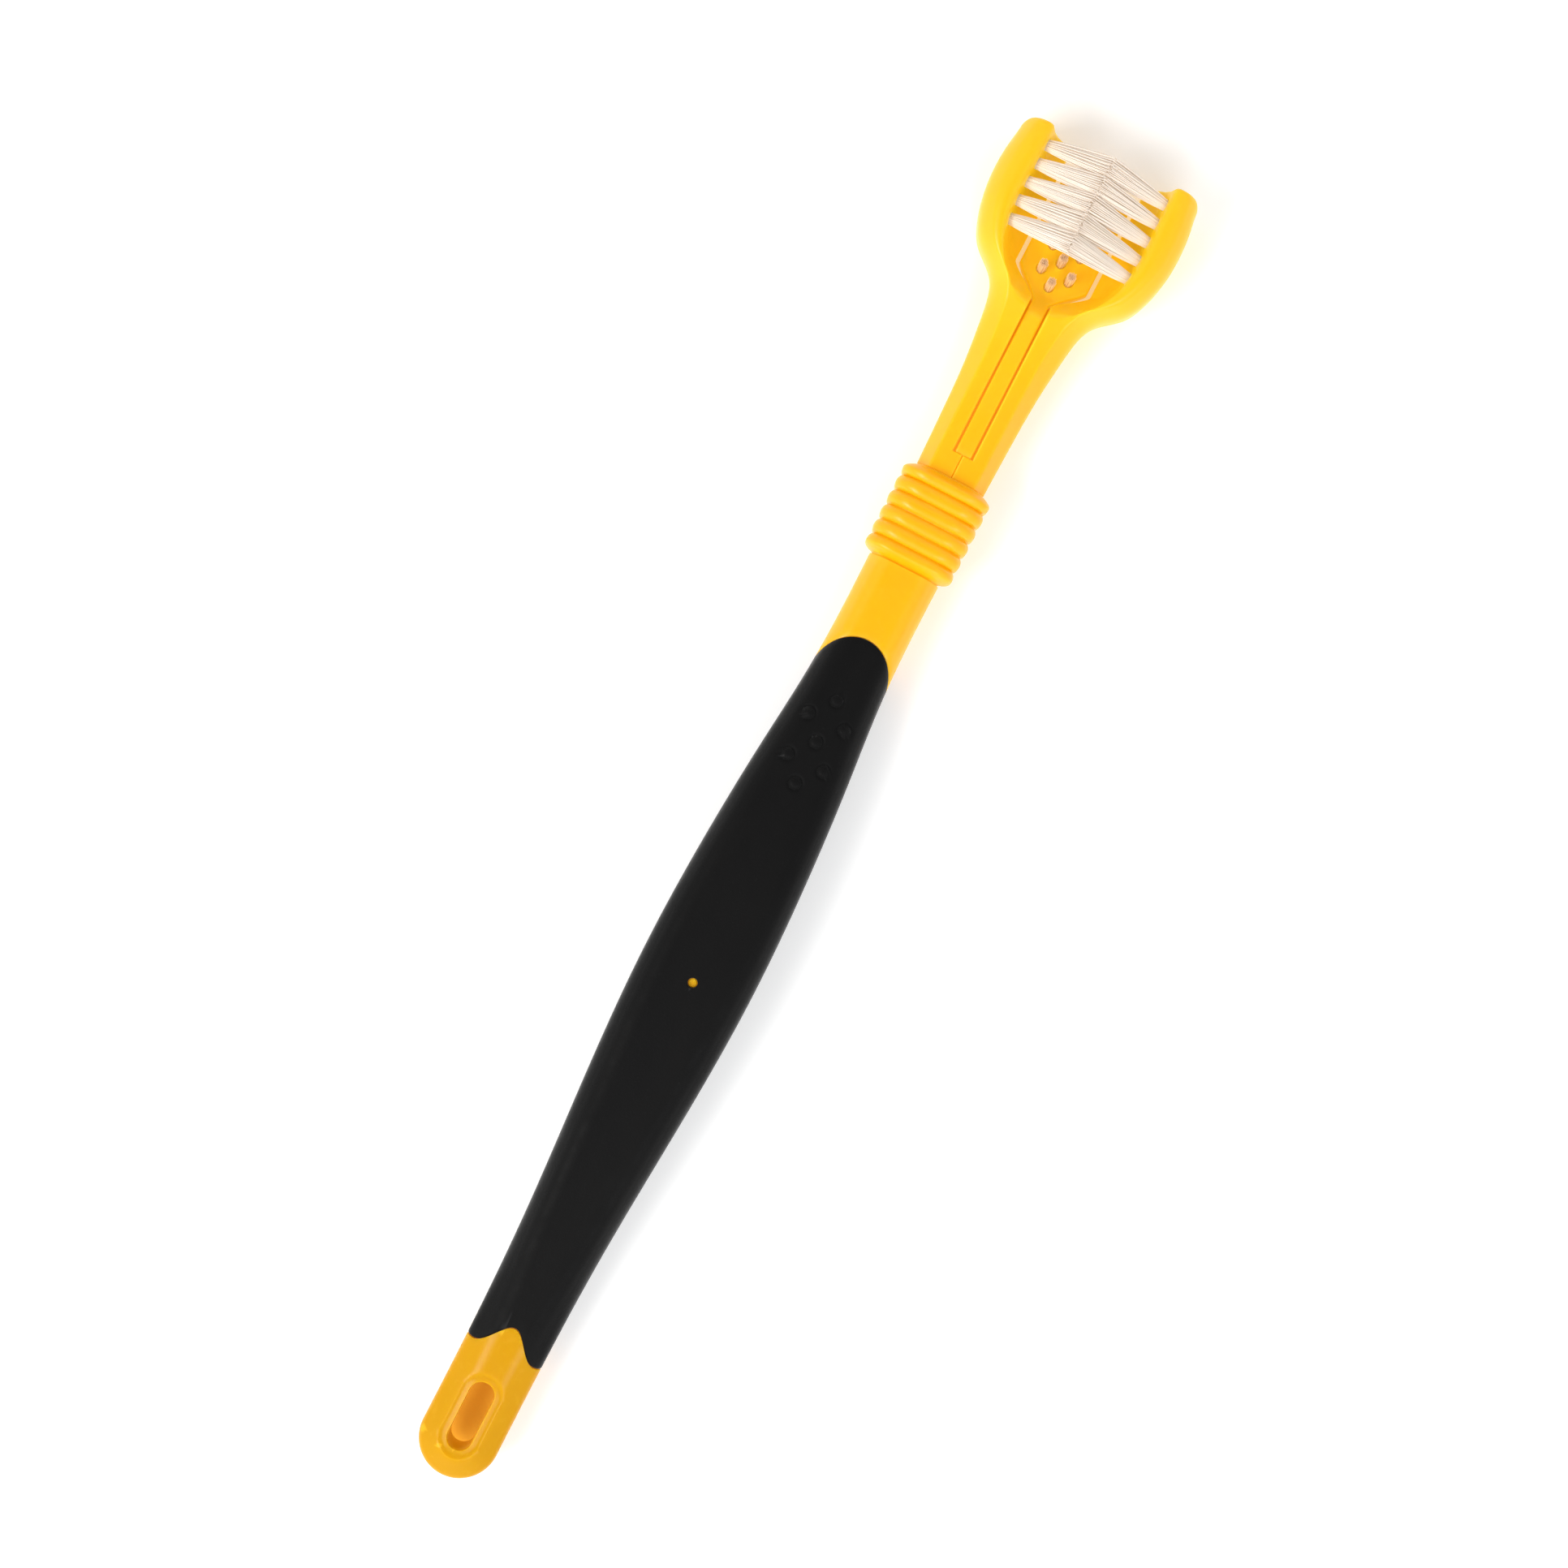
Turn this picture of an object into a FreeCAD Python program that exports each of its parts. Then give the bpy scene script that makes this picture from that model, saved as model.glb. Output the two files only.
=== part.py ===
import FreeCAD, Part
import math
import os
import Sketcher

# A three-sided pet toothbrush, lying on its back.
# Sizes are in millimetres. Stations run along X from the tail end of the handle;
# every finished sub-part is then shifted by half the overall length, so that the
# origin is under the middle of the brush and +X points to the head. +Z is the
# bristle side, and the left arm is on the +Y side.

DRIVING_SIZES = {
    "overall_length": 215.0,
    # Reach of the cutting prisms, well past every surface of the brush.
    "cut_depth": 20.0,
    # Handle: hang slot with a shallow dish round it, and the round tail end.
    "tail_radius": 6.05,
    "slot_start": 4.95,
    "slot_end": 15.4,
    "slot_width": 3.7,
    "dish_margin": 1.35,
    "dish_depth": 0.5,
    "handle_bevel_drop": 2.6,
    # Soft grip, moulded over a narrower spine of the handle core.
    "grip_wall": 1.8,
    "grip_side_wall": 2.6,
    "spine_start": 18.0,
    "grip_tail": 20.25,
    "grip_bell_tip": 24.6,
    "grip_bell_crown_radius": 2.1,
    "grip_bell_foot_radius": 2.6,
    "grip_bell_slope": 46.0,
    "grip_arch_centre": 131.5,
    "grip_arch_radius": 5.3,
    "locating_hole_station": 81.2,
    "locating_hole_radius": 0.75,
    "thumb_bump_radius": 0.9,
    "thumb_bump_rise": 0.36,
    "thumb_bump_start": 113.45,
    "thumb_bump_pitch": 3.32,
    "thumb_bump_spread": 2.9,
    # Ribbed collar that holds the head in the handle.
    "collar_start": 148.35,
    "collar_end": 163.1,
    "collar_half": 6.15,
    "collar_flat": 3.9,
    "collar_back": 1.25,
    "collar_front": 10.05,
    "collar_bevel_drop": 2.0,
    "rib_height": 0.55,
    "rib_foot": 2.1,
    "rib_crest": 0.8,
    "rib_sink": 0.02,
    "rib_start": 149.95,
    "rib_pitch": 2.36,
    "socket_half": 4.9,
    "socket_back": 2.7,
    "socket_front": 8.5,
    "spigot_end": 154.8,
    "spigot_overlap": 0.5,
    # Roots of the two arms, held in the collar's socket.
    "root_start": 155.8,
    "root_outer": 4.55,
    "root_outer_at_tip": 4.35,
    "root_overlap": 1.2,
    "root_inner_at_tip": 0.9,
    "root_inner_at_mouth": 0.15,
    "root_back": 3.05,
    "root_front": 8.15,
    "collar_gap": 0.2,
    "arm_seam": 0.13,
    # Tongue: a slim stem between the arms that carries the centre pad.
    "stem_half": 1.25,
    "stem_start": 167.2,
    "stem_back": 5.2,
    "stem_front": 8.5,
    "tab_start": 164.5,
    "tab_head_end": 165.3,
    "tab_head_half": 2.0,
    "tab_back": 4.7,
    "tab_front": 7.5,
    "tab_gap": 0.32,
    "tab_rear_gap": 0.5,
    "tab_overlap": 1.0,
    "stem_slit": 0.45,
    "ramp_start": 189.4,
    "ramp_end": 193.6,
    "flare_start": 192.2,
    "flare_end": 196.4,
    "pad_half": 5.5,
    "pad_end": 212.2,
    "pad_corner": 1.6,
    "pad_back": 3.2,
    "pad_back_lead": 1.0,
    "pad_front": 6.0,
    "pad_bevel": 0.7,
    "pad_slit": 0.85,
    "slit_past_end": 6.0,
    # Ends of the arms, seen from the front.
    "tip_inner_half": 10.0,
    "tip_outer_half": 13.2,
    "tip_corner": 1.1,
    "tip_inner_drop": 0.5,
    # Side bristle tufts, tilted up towards the middle.
    "side_row_start": 212.6,
    "side_row_pitch": 3.0,
    "side_hole_radius": 0.95,
    "side_hole_depth": 3.0,
    "side_root_radius": 0.92,
    "side_tilt": 25.0,
    "side_base_out": 9.55,
    "side_base_up": 9.2,
    "side_length": 9.65,
    "side_tip_radius": 1.42,
    # Centre bristle tufts, one and two to a row in turn.
    "centre_row_start": 194.8,
    "centre_row_pitch": 1.94,
    "centre_spread": 2.24,
    "centre_hole_radius": 0.82,
    "centre_hole_depth": 2.2,
    "centre_root_radius": 0.79,
    "centre_tip_radius": 0.88,
    "centre_length": 4.3,
    "hole_past_surface": 2.0,
    "tuft_overlap": 0.001,
    # Metal anchor plates that pin each tuft in its hole.
    "anchor_width": 1.4,
    "anchor_thickness": 0.25,
    "anchor_height": 0.6,
    "anchor_clearance": 0.05,
}

# Cross-sections of the handle: station, half width, half width of the flat front
# and back facets, height of the back, height of the front.
HANDLE_SECTIONS = {
    "tail_tip": (0.0, 6.05, 2.4, 2.2, 8.8),
    "tail_root": (24.0, 6.05, 2.6, 1.8, 9.4),
    "grip_foot": (40.0, 6.5, 4.0, 0.9, 10.7),
    "grip_swell": (59.0, 7.65, 5.0, -0.15, 12.2),
    "grip_belly": (82.0, 8.65, 6.1, -0.3, 13.0),
    "grip_thumb": (101.0, 8.15, 5.9, -0.15, 12.8),
    "grip_waist": (117.0, 7.0, 4.7, 0.5, 11.7),
    "grip_top": (129.0, 5.95, 3.6, 1.2, 10.3),
    "shaft_foot": (138.0, 5.6, 3.5, 1.6, 9.7),
    "shaft_end": (148.35, 5.6, 3.5, 1.8, 9.5),
}

# The same for the head, before the arms and the tongue are cut apart.
HEAD_SECTIONS = {
    "neck_mouth": (163.3, 5.45, 3.4, 2.2, 8.8),
    "neck_low": (172.0, 5.7, 3.5, 2.2, 8.8),
    "neck_mid": (180.0, 6.1, 3.7, 2.1, 8.8),
    "neck_high": (186.0, 6.75, 4.2, 1.7, 9.3),
    "shoulder_low": (190.0, 7.45, 4.9, 1.1, 10.0),
    "shoulder_mid": (193.0, 9.1, 6.5, 0.6, 10.7),
    "shoulder_top": (195.3, 11.7, 9.1, 0.3, 11.2),
    "wing_low": (198.0, 13.4, 10.9, 0.0, 11.6),
    "wing_swell": (202.5, 14.7, 12.3, -0.1, 12.0),
    "wing_belly": (207.0, 15.0, 12.6, -0.1, 12.0),
    "wing_high": (211.5, 14.7, 12.3, -0.1, 12.0),
    "wing_tip": (215.0, 13.95, 11.7, 0.2, 11.7),
}

# The tooth space hollowed out between the arms: station, then half width and
# height of its floor edge, of the knee of its wall, and of its open top.
SCOOP_SECTIONS = {
    "scoop_start": (190.0, 2.6, 10.0, 3.4, 11.0, 4.0, 13.0),
    "scoop_throat": (194.5, 5.4, 6.6, 6.9, 9.0, 7.6, 13.0),
    "scoop_low": (199.0, 6.3, 5.2, 8.7, 6.9, 9.7, 13.0),
    "scoop_mid": (206.8, 6.4, 5.0, 9.2, 6.7, 10.2, 13.0),
    "scoop_high": (212.0, 6.4, 5.0, 9.1, 6.7, 10.0, 13.0),
    "scoop_end": (217.0, 6.4, 5.0, 8.9, 6.7, 9.8, 13.0),
}

SECTION_WORDS = ("station", "half", "flat", "back", "front")
SCOOP_WORDS = ("station", "floor_half", "floor_up", "knee_half", "knee_up", "top_half", "top_up")
SIDE_ROWS = 5
CENTRE_ROWS = 9
RIB_COUNT = 6
THUMB_BUMPS = 5
# The socket takes at least this share of the ribbed collar's volume.
SOCKET_SHARE = 0.2

doc = FreeCAD.newDocument("pet_toothbrush")
sheet = doc.addObject("Spreadsheet::Sheet", "sizes")


def fill_sheet():
    rows = dict(DRIVING_SIZES)
    for table, words in (
        (HANDLE_SECTIONS, SECTION_WORDS),
        (HEAD_SECTIONS, SECTION_WORDS),
        (SCOOP_SECTIONS, SCOOP_WORDS),
    ):
        for name, values in table.items():
            for word, value in zip(words, values):
                rows[f"{name}_{word}"] = value
    for number, (alias, value) in enumerate(rows.items(), start=1):
        sheet.set(f"A{number}", alias)
        sheet.set(f"B{number}", str(value))
        sheet.setAlias(f"B{number}", alias)
    doc.recompute()


fill_sheet()


def size(alias):
    return float(sheet.get(alias))


def value_of(expression):
    """The number that an expression on the sheet's aliases gives now."""
    answer = sheet.evalExpression(expression)
    return float(getattr(answer, "Value", answer))


def cell(alias):
    return f"sizes.{alias}"


# --- Building blocks ------------------------------------------------------------


def body_plane(body, role):
    for feature in body.Origin.OriginFeatures:
        if feature.Role == role:
            return feature
    raise ValueError(role)


def polygon_sketch(body, name, role, points, height="0 mm"):
    """A closed outline on one of the body's planes; each corner is bound to the sheet."""
    sketch = body.newObject("Sketcher::SketchObject", name)
    sketch.AttachmentSupport = (body_plane(body, role), [""])
    sketch.MapMode = "FlatFace"
    sketch.setExpression(".AttachmentOffset.Base.z", height)
    corners = [FreeCAD.Vector(value_of(x), value_of(y), 0) for x, y in points]
    count = len(corners)
    for index, corner in enumerate(corners):
        sketch.addGeometry(Part.LineSegment(corner, corners[(index + 1) % count]), False)
    for index in range(count):
        sketch.addConstraint(Sketcher.Constraint("Coincident", index, 2, (index + 1) % count, 1))
    for index, (corner, expressions) in enumerate(zip(corners, points)):
        for axis, number, expression in zip("XY", (corner.x, corner.y), expressions):
            constraint = Sketcher.Constraint(f"Distance{axis}", -1, 1, index, 1, number)
            place = sketch.addConstraint(constraint)
            title = f"corner{index}{axis}"
            sketch.renameConstraint(place, title)
            sketch.setExpression(f"Constraints.{title}", expression)
    return sketch


def mirrored(half_profile):
    """Closes a (half width, height) profile, given from bottom to top, over the centre plane."""
    left = [(f"-({half})", up) for half, up in reversed(half_profile)]
    return list(half_profile) + left


def octagon(half, flat, back, front, drop):
    return mirrored(
        [
            (flat, back),
            (half, f"{back} + {drop}"),
            (half, f"{front} - {drop}"),
            (flat, front),
        ]
    )


def new_body(name):
    return doc.addObject("PartDesign::Body", name)


def loft_in(body, name, sections, ruled=False):
    """Lofts along X through (sketch name, station, outline) sections."""
    sketches = [
        polygon_sketch(body, title, "YZ_Plane", outline, f"({station}) * 1 mm")
        for title, station, outline in sections
    ]
    loft = body.newObject("PartDesign::AdditiveLoft", name)
    loft.Profile = (sketches[0], [""])
    loft.Sections = [(sketch, [""]) for sketch in sketches[1:]]
    loft.Ruled = ruled
    return loft


def loft_body(name, sections):
    body = new_body(name)
    loft_in(body, f"{name}_loft", sections)
    return body


def pad_body(name, role, points, length, height="0 mm"):
    """An outline on an origin plane, padded along the plane's normal."""
    body = new_body(name)
    sketch = polygon_sketch(body, f"{name}_outline", role, points, height)
    pad = body.newObject("PartDesign::Pad", f"{name}_pad")
    pad.Profile = (sketch, [""])
    pad.setExpression("Length", length)
    return body


def side_pad(name, points, width):
    """An outline in the XZ plane, padded equally to both sides of the centre plane."""
    body = new_body(name)
    sketch = polygon_sketch(body, f"{name}_outline", "XZ_Plane", points)
    pad = body.newObject("PartDesign::Pad", f"{name}_pad")
    pad.Profile = (sketch, [""])
    pad.Midplane = True
    pad.setExpression("Length", width)
    return body


def primitive(kind, name, **expressions):
    solid = doc.addObject(f"Part::{kind}", name)
    for path, expression in expressions.items():
        solid.setExpression(path.replace("__", "."), expression)
    return solid


def box(name, low, high):
    """A box between two corners, each given as three expressions."""
    return primitive(
        "Box",
        name,
        Length=f"{high[0]} - ({low[0]})",
        Width=f"{high[1]} - ({low[1]})",
        Height=f"{high[2]} - ({low[2]})",
        Placement__Base__x=low[0],
        Placement__Base__y=low[1],
        Placement__Base__z=low[2],
    )


def upright_cylinder(name, radius, station, out, bottom, height):
    return primitive(
        "Cylinder",
        name,
        Radius=radius,
        Height=height,
        Placement__Base__x=station,
        Placement__Base__y=out,
        Placement__Base__z=bottom,
    )


def fuse(name, shapes):
    result = doc.addObject("Part::MultiFuse", name)
    result.Shapes = shapes
    return result


def common(name, shapes):
    result = doc.addObject("Part::MultiCommon", name)
    result.Shapes = shapes
    return result


def cut(name, base, tool):
    result = doc.addObject("Part::Cut", name)
    result.Base = base
    result.Tool = tool
    return result


def group(name, solids):
    result = doc.addObject("Part::Compound", name)
    result.Links = solids
    return result


finished = []


def finish(piece, label):
    """Names a sub-part and moves it from tail stations to the brush's own origin."""
    piece.Label = label
    piece.setExpression("Placement.Base.x", "-sizes.overall_length / 2")
    finished.append(piece)
    return piece


def finish_mirrored(source, label):
    """The same sub-part on the other side of the centre plane, already in its place along X."""
    piece = doc.addObject("Part::Mirroring", f"{label}_mirror")
    piece.Source = source
    piece.Normal = FreeCAD.Vector(0, 1, 0)
    piece.Label = label
    finished.append(piece)


# --- Handle ---------------------------------------------------------------------


def handle_section(title):
    half, flat, back, front = (cell(f"{title}_{word}") for word in SECTION_WORDS[1:])
    outline = octagon(half, flat, back, front, "sizes.handle_bevel_drop")
    return (f"handle_{title}", cell(f"{title}_station"), outline)


def spine_section(name, title, station):
    half, _, back, front = (cell(f"{title}_{word}") for word in SECTION_WORDS[1:])
    width = f"{half} - sizes.grip_side_wall"
    profile = [(width, f"{back} + sizes.grip_wall"), (width, f"{front} - sizes.grip_wall")]
    return (name, station, mirrored(profile))


def make_spine():
    """The narrower bar in the middle of the core, which runs on into the bare parts at both ends."""
    titles = [title for title in HANDLE_SECTIONS if title not in ("tail_tip", "shaft_end")]
    sections = [spine_section("spine_start", "tail_root", "sizes.spine_start")]
    sections += [spine_section(f"spine_{title}", title, cell(f"{title}_station")) for title in titles]
    body = new_body("spine")
    loft_in(body, "spine_bar", sections, ruled=True)
    return body


def obround(name, margin, bottom, height):
    """The hang slot's outline, widened by a margin, as an upright prism."""
    radius = f"sizes.slot_width / 2 + {margin}"
    near = "sizes.slot_start + sizes.slot_width / 2"
    far = "sizes.slot_end - sizes.slot_width / 2"
    middle = box(
        f"{name}_middle",
        (near, f"-({radius})", bottom),
        (far, radius, f"{bottom} + {height}"),
    )
    ends = [
        upright_cylinder(f"{name}_{title}", radius, station, "0", bottom, height)
        for title, station in (("near_end", near), ("far_end", far))
    ]
    return fuse(name, [middle, *ends])


def make_handle_envelope():
    """Outer shape of handle and grip together, with a round tail and a flat belly."""
    loft = loft_body("handle_loft", [handle_section(title) for title in HANDLE_SECTIONS])
    past_tail = box(
        "straight_part",
        ("sizes.tail_radius", "-sizes.cut_depth", "0"),
        ("sizes.collar_start", "sizes.cut_depth", "sizes.cut_depth"),
    )
    round_tail = upright_cylinder(
        "round_tail", "sizes.tail_radius", "sizes.tail_radius", "0", "0", "sizes.cut_depth"
    )
    return common("handle_envelope", [loft, fuse("handle_plan", [past_tail, round_tail])])


def bell_edge():
    """The grip's wavy tail edge in plan: foot arc, straight flank and crown arc, both sides."""
    crown = size("grip_bell_crown_radius")
    foot = size("grip_bell_foot_radius")
    rise = size("grip_bell_tip") - size("grip_tail")
    turn = math.radians(size("grip_bell_slope"))
    arcs_rise = (crown + foot) * (1 - math.cos(turn))
    flank = (rise - arcs_rise) / math.sin(turn)
    reach = (crown + foot) * math.sin(turn) + flank * math.cos(turn)
    top = size("grip_bell_tip")
    bottom = size("grip_tail")

    def point(x, y):
        return FreeCAD.Vector(x, y, 0)

    def arc(centre_x, centre_y, radius, start, sweep):
        angles = [start + sweep * part for part in (0, 0.5, 1)]
        places = [point(centre_x + radius * math.cos(a), centre_y + radius * math.sin(a)) for a in angles]
        return Part.Arc(*places)

    edges = []
    for side in (-1, 1):
        foot_arc = arc(bottom + foot, side * reach, foot, math.pi, side * turn)
        crown_arc = arc(top - crown, 0, crown, 0, side * turn)
        flank_line = Part.LineSegment(foot_arc.EndPoint, crown_arc.EndPoint)
        edges.append([foot_arc, flank_line, crown_arc])
    return edges, reach


def make_grip_zone():
    """Upright prism that holds everything the soft grip covers."""
    edges, reach = bell_edge()
    tail = size("grip_tail")
    far = size("grip_arch_centre")
    half = size("tail_radius") + size("handle_bevel_drop") + size("grip_wall")
    corners = [(tail, -half), (far, -half), (far, half), (tail, half)]
    outer = [FreeCAD.Vector(x, y, 0) for x, y in corners]
    starts = [FreeCAD.Vector(tail, side * reach, 0) for side in (-1, 1)]
    lines = [
        Part.LineSegment(starts[0], outer[0]),
        Part.LineSegment(outer[0], outer[1]),
        Part.LineSegment(outer[1], outer[2]),
        Part.LineSegment(outer[2], outer[3]),
        Part.LineSegment(outer[3], starts[1]),
    ]
    curves = [*lines, *edges[0], *edges[1]]
    wire = Part.Wire(Part.__sortEdges__([curve.toShape() for curve in curves]))
    prism = doc.addObject("Part::Feature", "grip_plan")
    prism.Shape = Part.Face(wire).extrude(FreeCAD.Vector(0, 0, size("cut_depth")))
    arch = upright_cylinder(
        "grip_arch", "sizes.grip_arch_radius", "sizes.grip_arch_centre", "0", "0", "sizes.cut_depth"
    )
    return fuse("grip_zone", [prism, arch])


def thumb_bump(number):
    """One raised dot: dots in a line alternate with pairs of dots beside it."""
    station = f"(sizes.thumb_bump_start + {number} * sizes.thumb_bump_pitch)"
    # The front facet falls evenly from the waist section to the top section.
    fall = (
        "(sizes.grip_waist_front - sizes.grip_top_front)"
        " / (sizes.grip_top_station - sizes.grip_waist_station)"
    )
    facet = f"sizes.grip_waist_front - {fall} * ({station} - sizes.grip_waist_station)"
    ball = "(sizes.thumb_bump_radius ^ 2 + sizes.thumb_bump_rise ^ 2) / (2 * sizes.thumb_bump_rise)"
    sides = (0,) if number % 2 == 0 else (-1, 1)
    return [
        primitive(
            "Sphere",
            f"thumb_bump_{number}_{side + 1}",
            Radius=ball,
            Placement__Base__x=station,
            Placement__Base__y=f"{side} * sizes.thumb_bump_spread",
            Placement__Base__z=f"{facet} + sizes.thumb_bump_rise - {ball}",
        )
        for side in sides
    ]


def make_handle():
    envelope = make_handle_envelope()
    zone = make_grip_zone()
    spine = make_spine()

    bare = cut("bare_handle", envelope, zone)
    spigot = box(
        "spigot",
        ("sizes.collar_start - sizes.spigot_overlap", "-sizes.socket_half", "sizes.socket_back"),
        ("sizes.spigot_end", "sizes.socket_half", "sizes.socket_front"),
    )
    slot = obround("hang_slot", "0", "0", "sizes.cut_depth")
    # The tail's facets slope a little, so each dish is as deep as stated at the tail's middle height.
    front_floor = "(sizes.tail_tip_front + sizes.tail_root_front) / 2 - sizes.dish_depth"
    back_floor = "(sizes.tail_tip_back + sizes.tail_root_back) / 2 + sizes.dish_depth"
    front_dish = obround("front_dish", "sizes.dish_margin", front_floor, "sizes.cut_depth")
    back_dish = obround("back_dish", "sizes.dish_margin", "0", back_floor)
    stock = fuse("core_stock", [bare, spine, spigot])
    tools = fuse("slot_tools", [slot, front_dish, back_dish])
    finish(cut("core", stock, tools), "handle_core")

    sleeve = cut("grip_sleeve", common("grip_stock", [envelope, zone]), spine)
    locating_hole = upright_cylinder(
        "locating_hole",
        "sizes.locating_hole_radius",
        "sizes.locating_hole_station",
        "0",
        "sizes.grip_belly_front / 2",
        "sizes.cut_depth",
    )
    bumps = [ball for number in range(THUMB_BUMPS) for ball in thumb_bump(number)]
    grip_skin = cut("grip_skin", sleeve, locating_hole)
    domes = cut("thumb_domes", fuse("thumb_balls", bumps), spine)
    finish(fuse("grip", [grip_skin, domes]), "grip_overmould")


# --- Collar ---------------------------------------------------------------------


def collar_outline(rise="0"):
    return octagon(
        f"sizes.collar_half + {rise}",
        f"sizes.collar_flat + {rise} / 2",
        f"sizes.collar_back - {rise}",
        f"sizes.collar_front + {rise}",
        "sizes.collar_bevel_drop",
    )


def make_collar():
    """A sleeve with rounded ribs outside and one socket right through it."""
    body = new_body("collar")
    sleeve_sketch = polygon_sketch(
        body, "sleeve_outline", "YZ_Plane", collar_outline(), "sizes.collar_start * 1 mm"
    )
    sleeve = body.newObject("PartDesign::Pad", "sleeve")
    sleeve.Profile = (sleeve_sketch, [""])
    sleeve.setExpression("Length", "sizes.collar_end - sizes.collar_start")
    doc.recompute()

    middle = "sizes.rib_start"
    rib = loft_in(
        body,
        "rib",
        [
            ("rib_near_foot", f"{middle} - sizes.rib_foot / 2", collar_outline("-sizes.rib_sink")),
            ("rib_near_crest", f"{middle} - sizes.rib_crest / 2", collar_outline("sizes.rib_height")),
            ("rib_far_crest", f"{middle} + sizes.rib_crest / 2", collar_outline("sizes.rib_height")),
            ("rib_far_foot", f"{middle} + sizes.rib_foot / 2", collar_outline("-sizes.rib_sink")),
        ],
        ruled=True,
    )
    doc.recompute()
    ribs = body.newObject("PartDesign::LinearPattern", "ribs")
    ribs.Originals = [rib]
    ribs.Direction = (body_plane(body, "X_Axis"), [""])
    ribs.setExpression("Length", f"sizes.rib_pitch * {RIB_COUNT - 1}")
    ribs.Occurrences = RIB_COUNT
    body.Tip = ribs
    doc.recompute()

    socket = [
        (f"{side}sizes.socket_half", f"sizes.socket_{level}")
        for side, level in (("-", "back"), ("", "back"), ("", "front"), ("-", "front"))
    ]
    socket_sketch = polygon_sketch(body, "socket_outline", "YZ_Plane", socket)
    pocket = body.newObject("PartDesign::Pocket", "socket")
    pocket.Profile = (socket_sketch, [""])
    pocket.Type = "ThroughAll"
    pocket.Midplane = True
    solid_volume = ribs.Shape.Volume
    doc.recompute()
    if body.Shape.Volume > solid_volume * (1 - SOCKET_SHARE):
        raise RuntimeError("the collar's socket was not cut")
    finish(body, "retaining_collar")


# --- Tongue ---------------------------------------------------------------------


def tongue_plan(stem_gap="0", pad_gap="0", past_end="0"):
    """The stem, flare and pad seen from the front, widened by the slits' gaps."""
    stem = f"sizes.stem_half + {stem_gap}"
    pad = f"sizes.pad_half + {pad_gap}"
    far = f"sizes.pad_end + {past_end}"
    near = f"sizes.stem_start - {stem_gap}"
    side = [
        (near, stem),
        (f"sizes.flare_start - {stem_gap} / 2", stem),
        (f"sizes.flare_end - {pad_gap} / 2", pad),
        (f"{far} - sizes.pad_corner", pad),
        (far, f"{pad} - sizes.pad_corner"),
    ]
    return side + [(station, f"-({half})") for station, half in reversed(side)]


def make_tongue(tuft_holes):
    plan = pad_body("tongue_plan", "XY_Plane", tongue_plan(), "sizes.cut_depth")
    profile = side_pad(
        "tongue_profile",
        [
            ("sizes.stem_start", "sizes.stem_back"),
            ("sizes.ramp_start", "sizes.stem_back"),
            ("sizes.ramp_end - sizes.pad_back_lead", "sizes.pad_back"),
            ("sizes.pad_end", "sizes.pad_back"),
            ("sizes.pad_end", "sizes.pad_front - sizes.pad_bevel"),
            ("sizes.pad_end - sizes.pad_bevel", "sizes.pad_front"),
            ("sizes.ramp_end", "sizes.pad_front"),
            ("sizes.ramp_start", "sizes.stem_front"),
            ("sizes.stem_start", "sizes.stem_front"),
        ],
        "sizes.cut_depth",
    )
    blade = common("tongue_blade", [plan, profile])
    tab = box(
        "tongue_tab",
        ("sizes.tab_start", "-sizes.stem_half", "sizes.tab_back"),
        ("sizes.stem_start + sizes.tab_overlap", "sizes.stem_half", "sizes.tab_front"),
    )
    tab_head = box(
        "tongue_tab_head",
        ("sizes.tab_start", "-sizes.tab_head_half", "sizes.tab_back"),
        ("sizes.tab_head_end", "sizes.tab_head_half", "sizes.tab_front"),
    )
    stock = fuse("tongue_stock", [blade, tab, tab_head])
    finish(cut("tongue", stock, group("centre_holes", tuft_holes)), "centre_tongue")


def make_tongue_clearance():
    """Everything that the arms leave free for the tongue."""
    plan = tongue_plan("sizes.stem_slit", "sizes.pad_slit", "sizes.slit_past_end")
    slit = pad_body("tongue_slit", "XY_Plane", plan, "sizes.cut_depth")
    gap = "sizes.tab_gap"
    rear = "sizes.tab_start - sizes.tab_rear_gap"
    channel = box(
        "tab_channel",
        (rear, f"-(sizes.stem_half + {gap})", f"sizes.tab_back - {gap}"),
        ("sizes.stem_start + sizes.tab_overlap", f"sizes.stem_half + {gap}", f"sizes.tab_front + {gap}"),
    )
    head_room = box(
        "tab_head_room",
        (rear, f"-(sizes.tab_head_half + {gap})", f"sizes.tab_back - {gap}"),
        (f"sizes.tab_head_end + {gap}", f"sizes.tab_head_half + {gap}", f"sizes.tab_front + {gap}"),
    )
    return fuse("tongue_clearance", [slit, channel, head_room])


# --- Arms -----------------------------------------------------------------------


def head_section(name):
    half, flat, back, front = (cell(f"{name}_{word}") for word in SECTION_WORDS[1:])
    outline = octagon(half, flat, back, front, "sizes.handle_bevel_drop")
    return (f"head_{name}", cell(f"{name}_station"), outline)


def scoop_section(name):
    aliases = [cell(f"{name}_{word}") for word in SCOOP_WORDS[1:]]
    pairs = [tuple(aliases[index : index + 2]) for index in range(0, len(aliases), 2)]
    return (name, cell(f"{name}_station"), mirrored(pairs))


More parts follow.
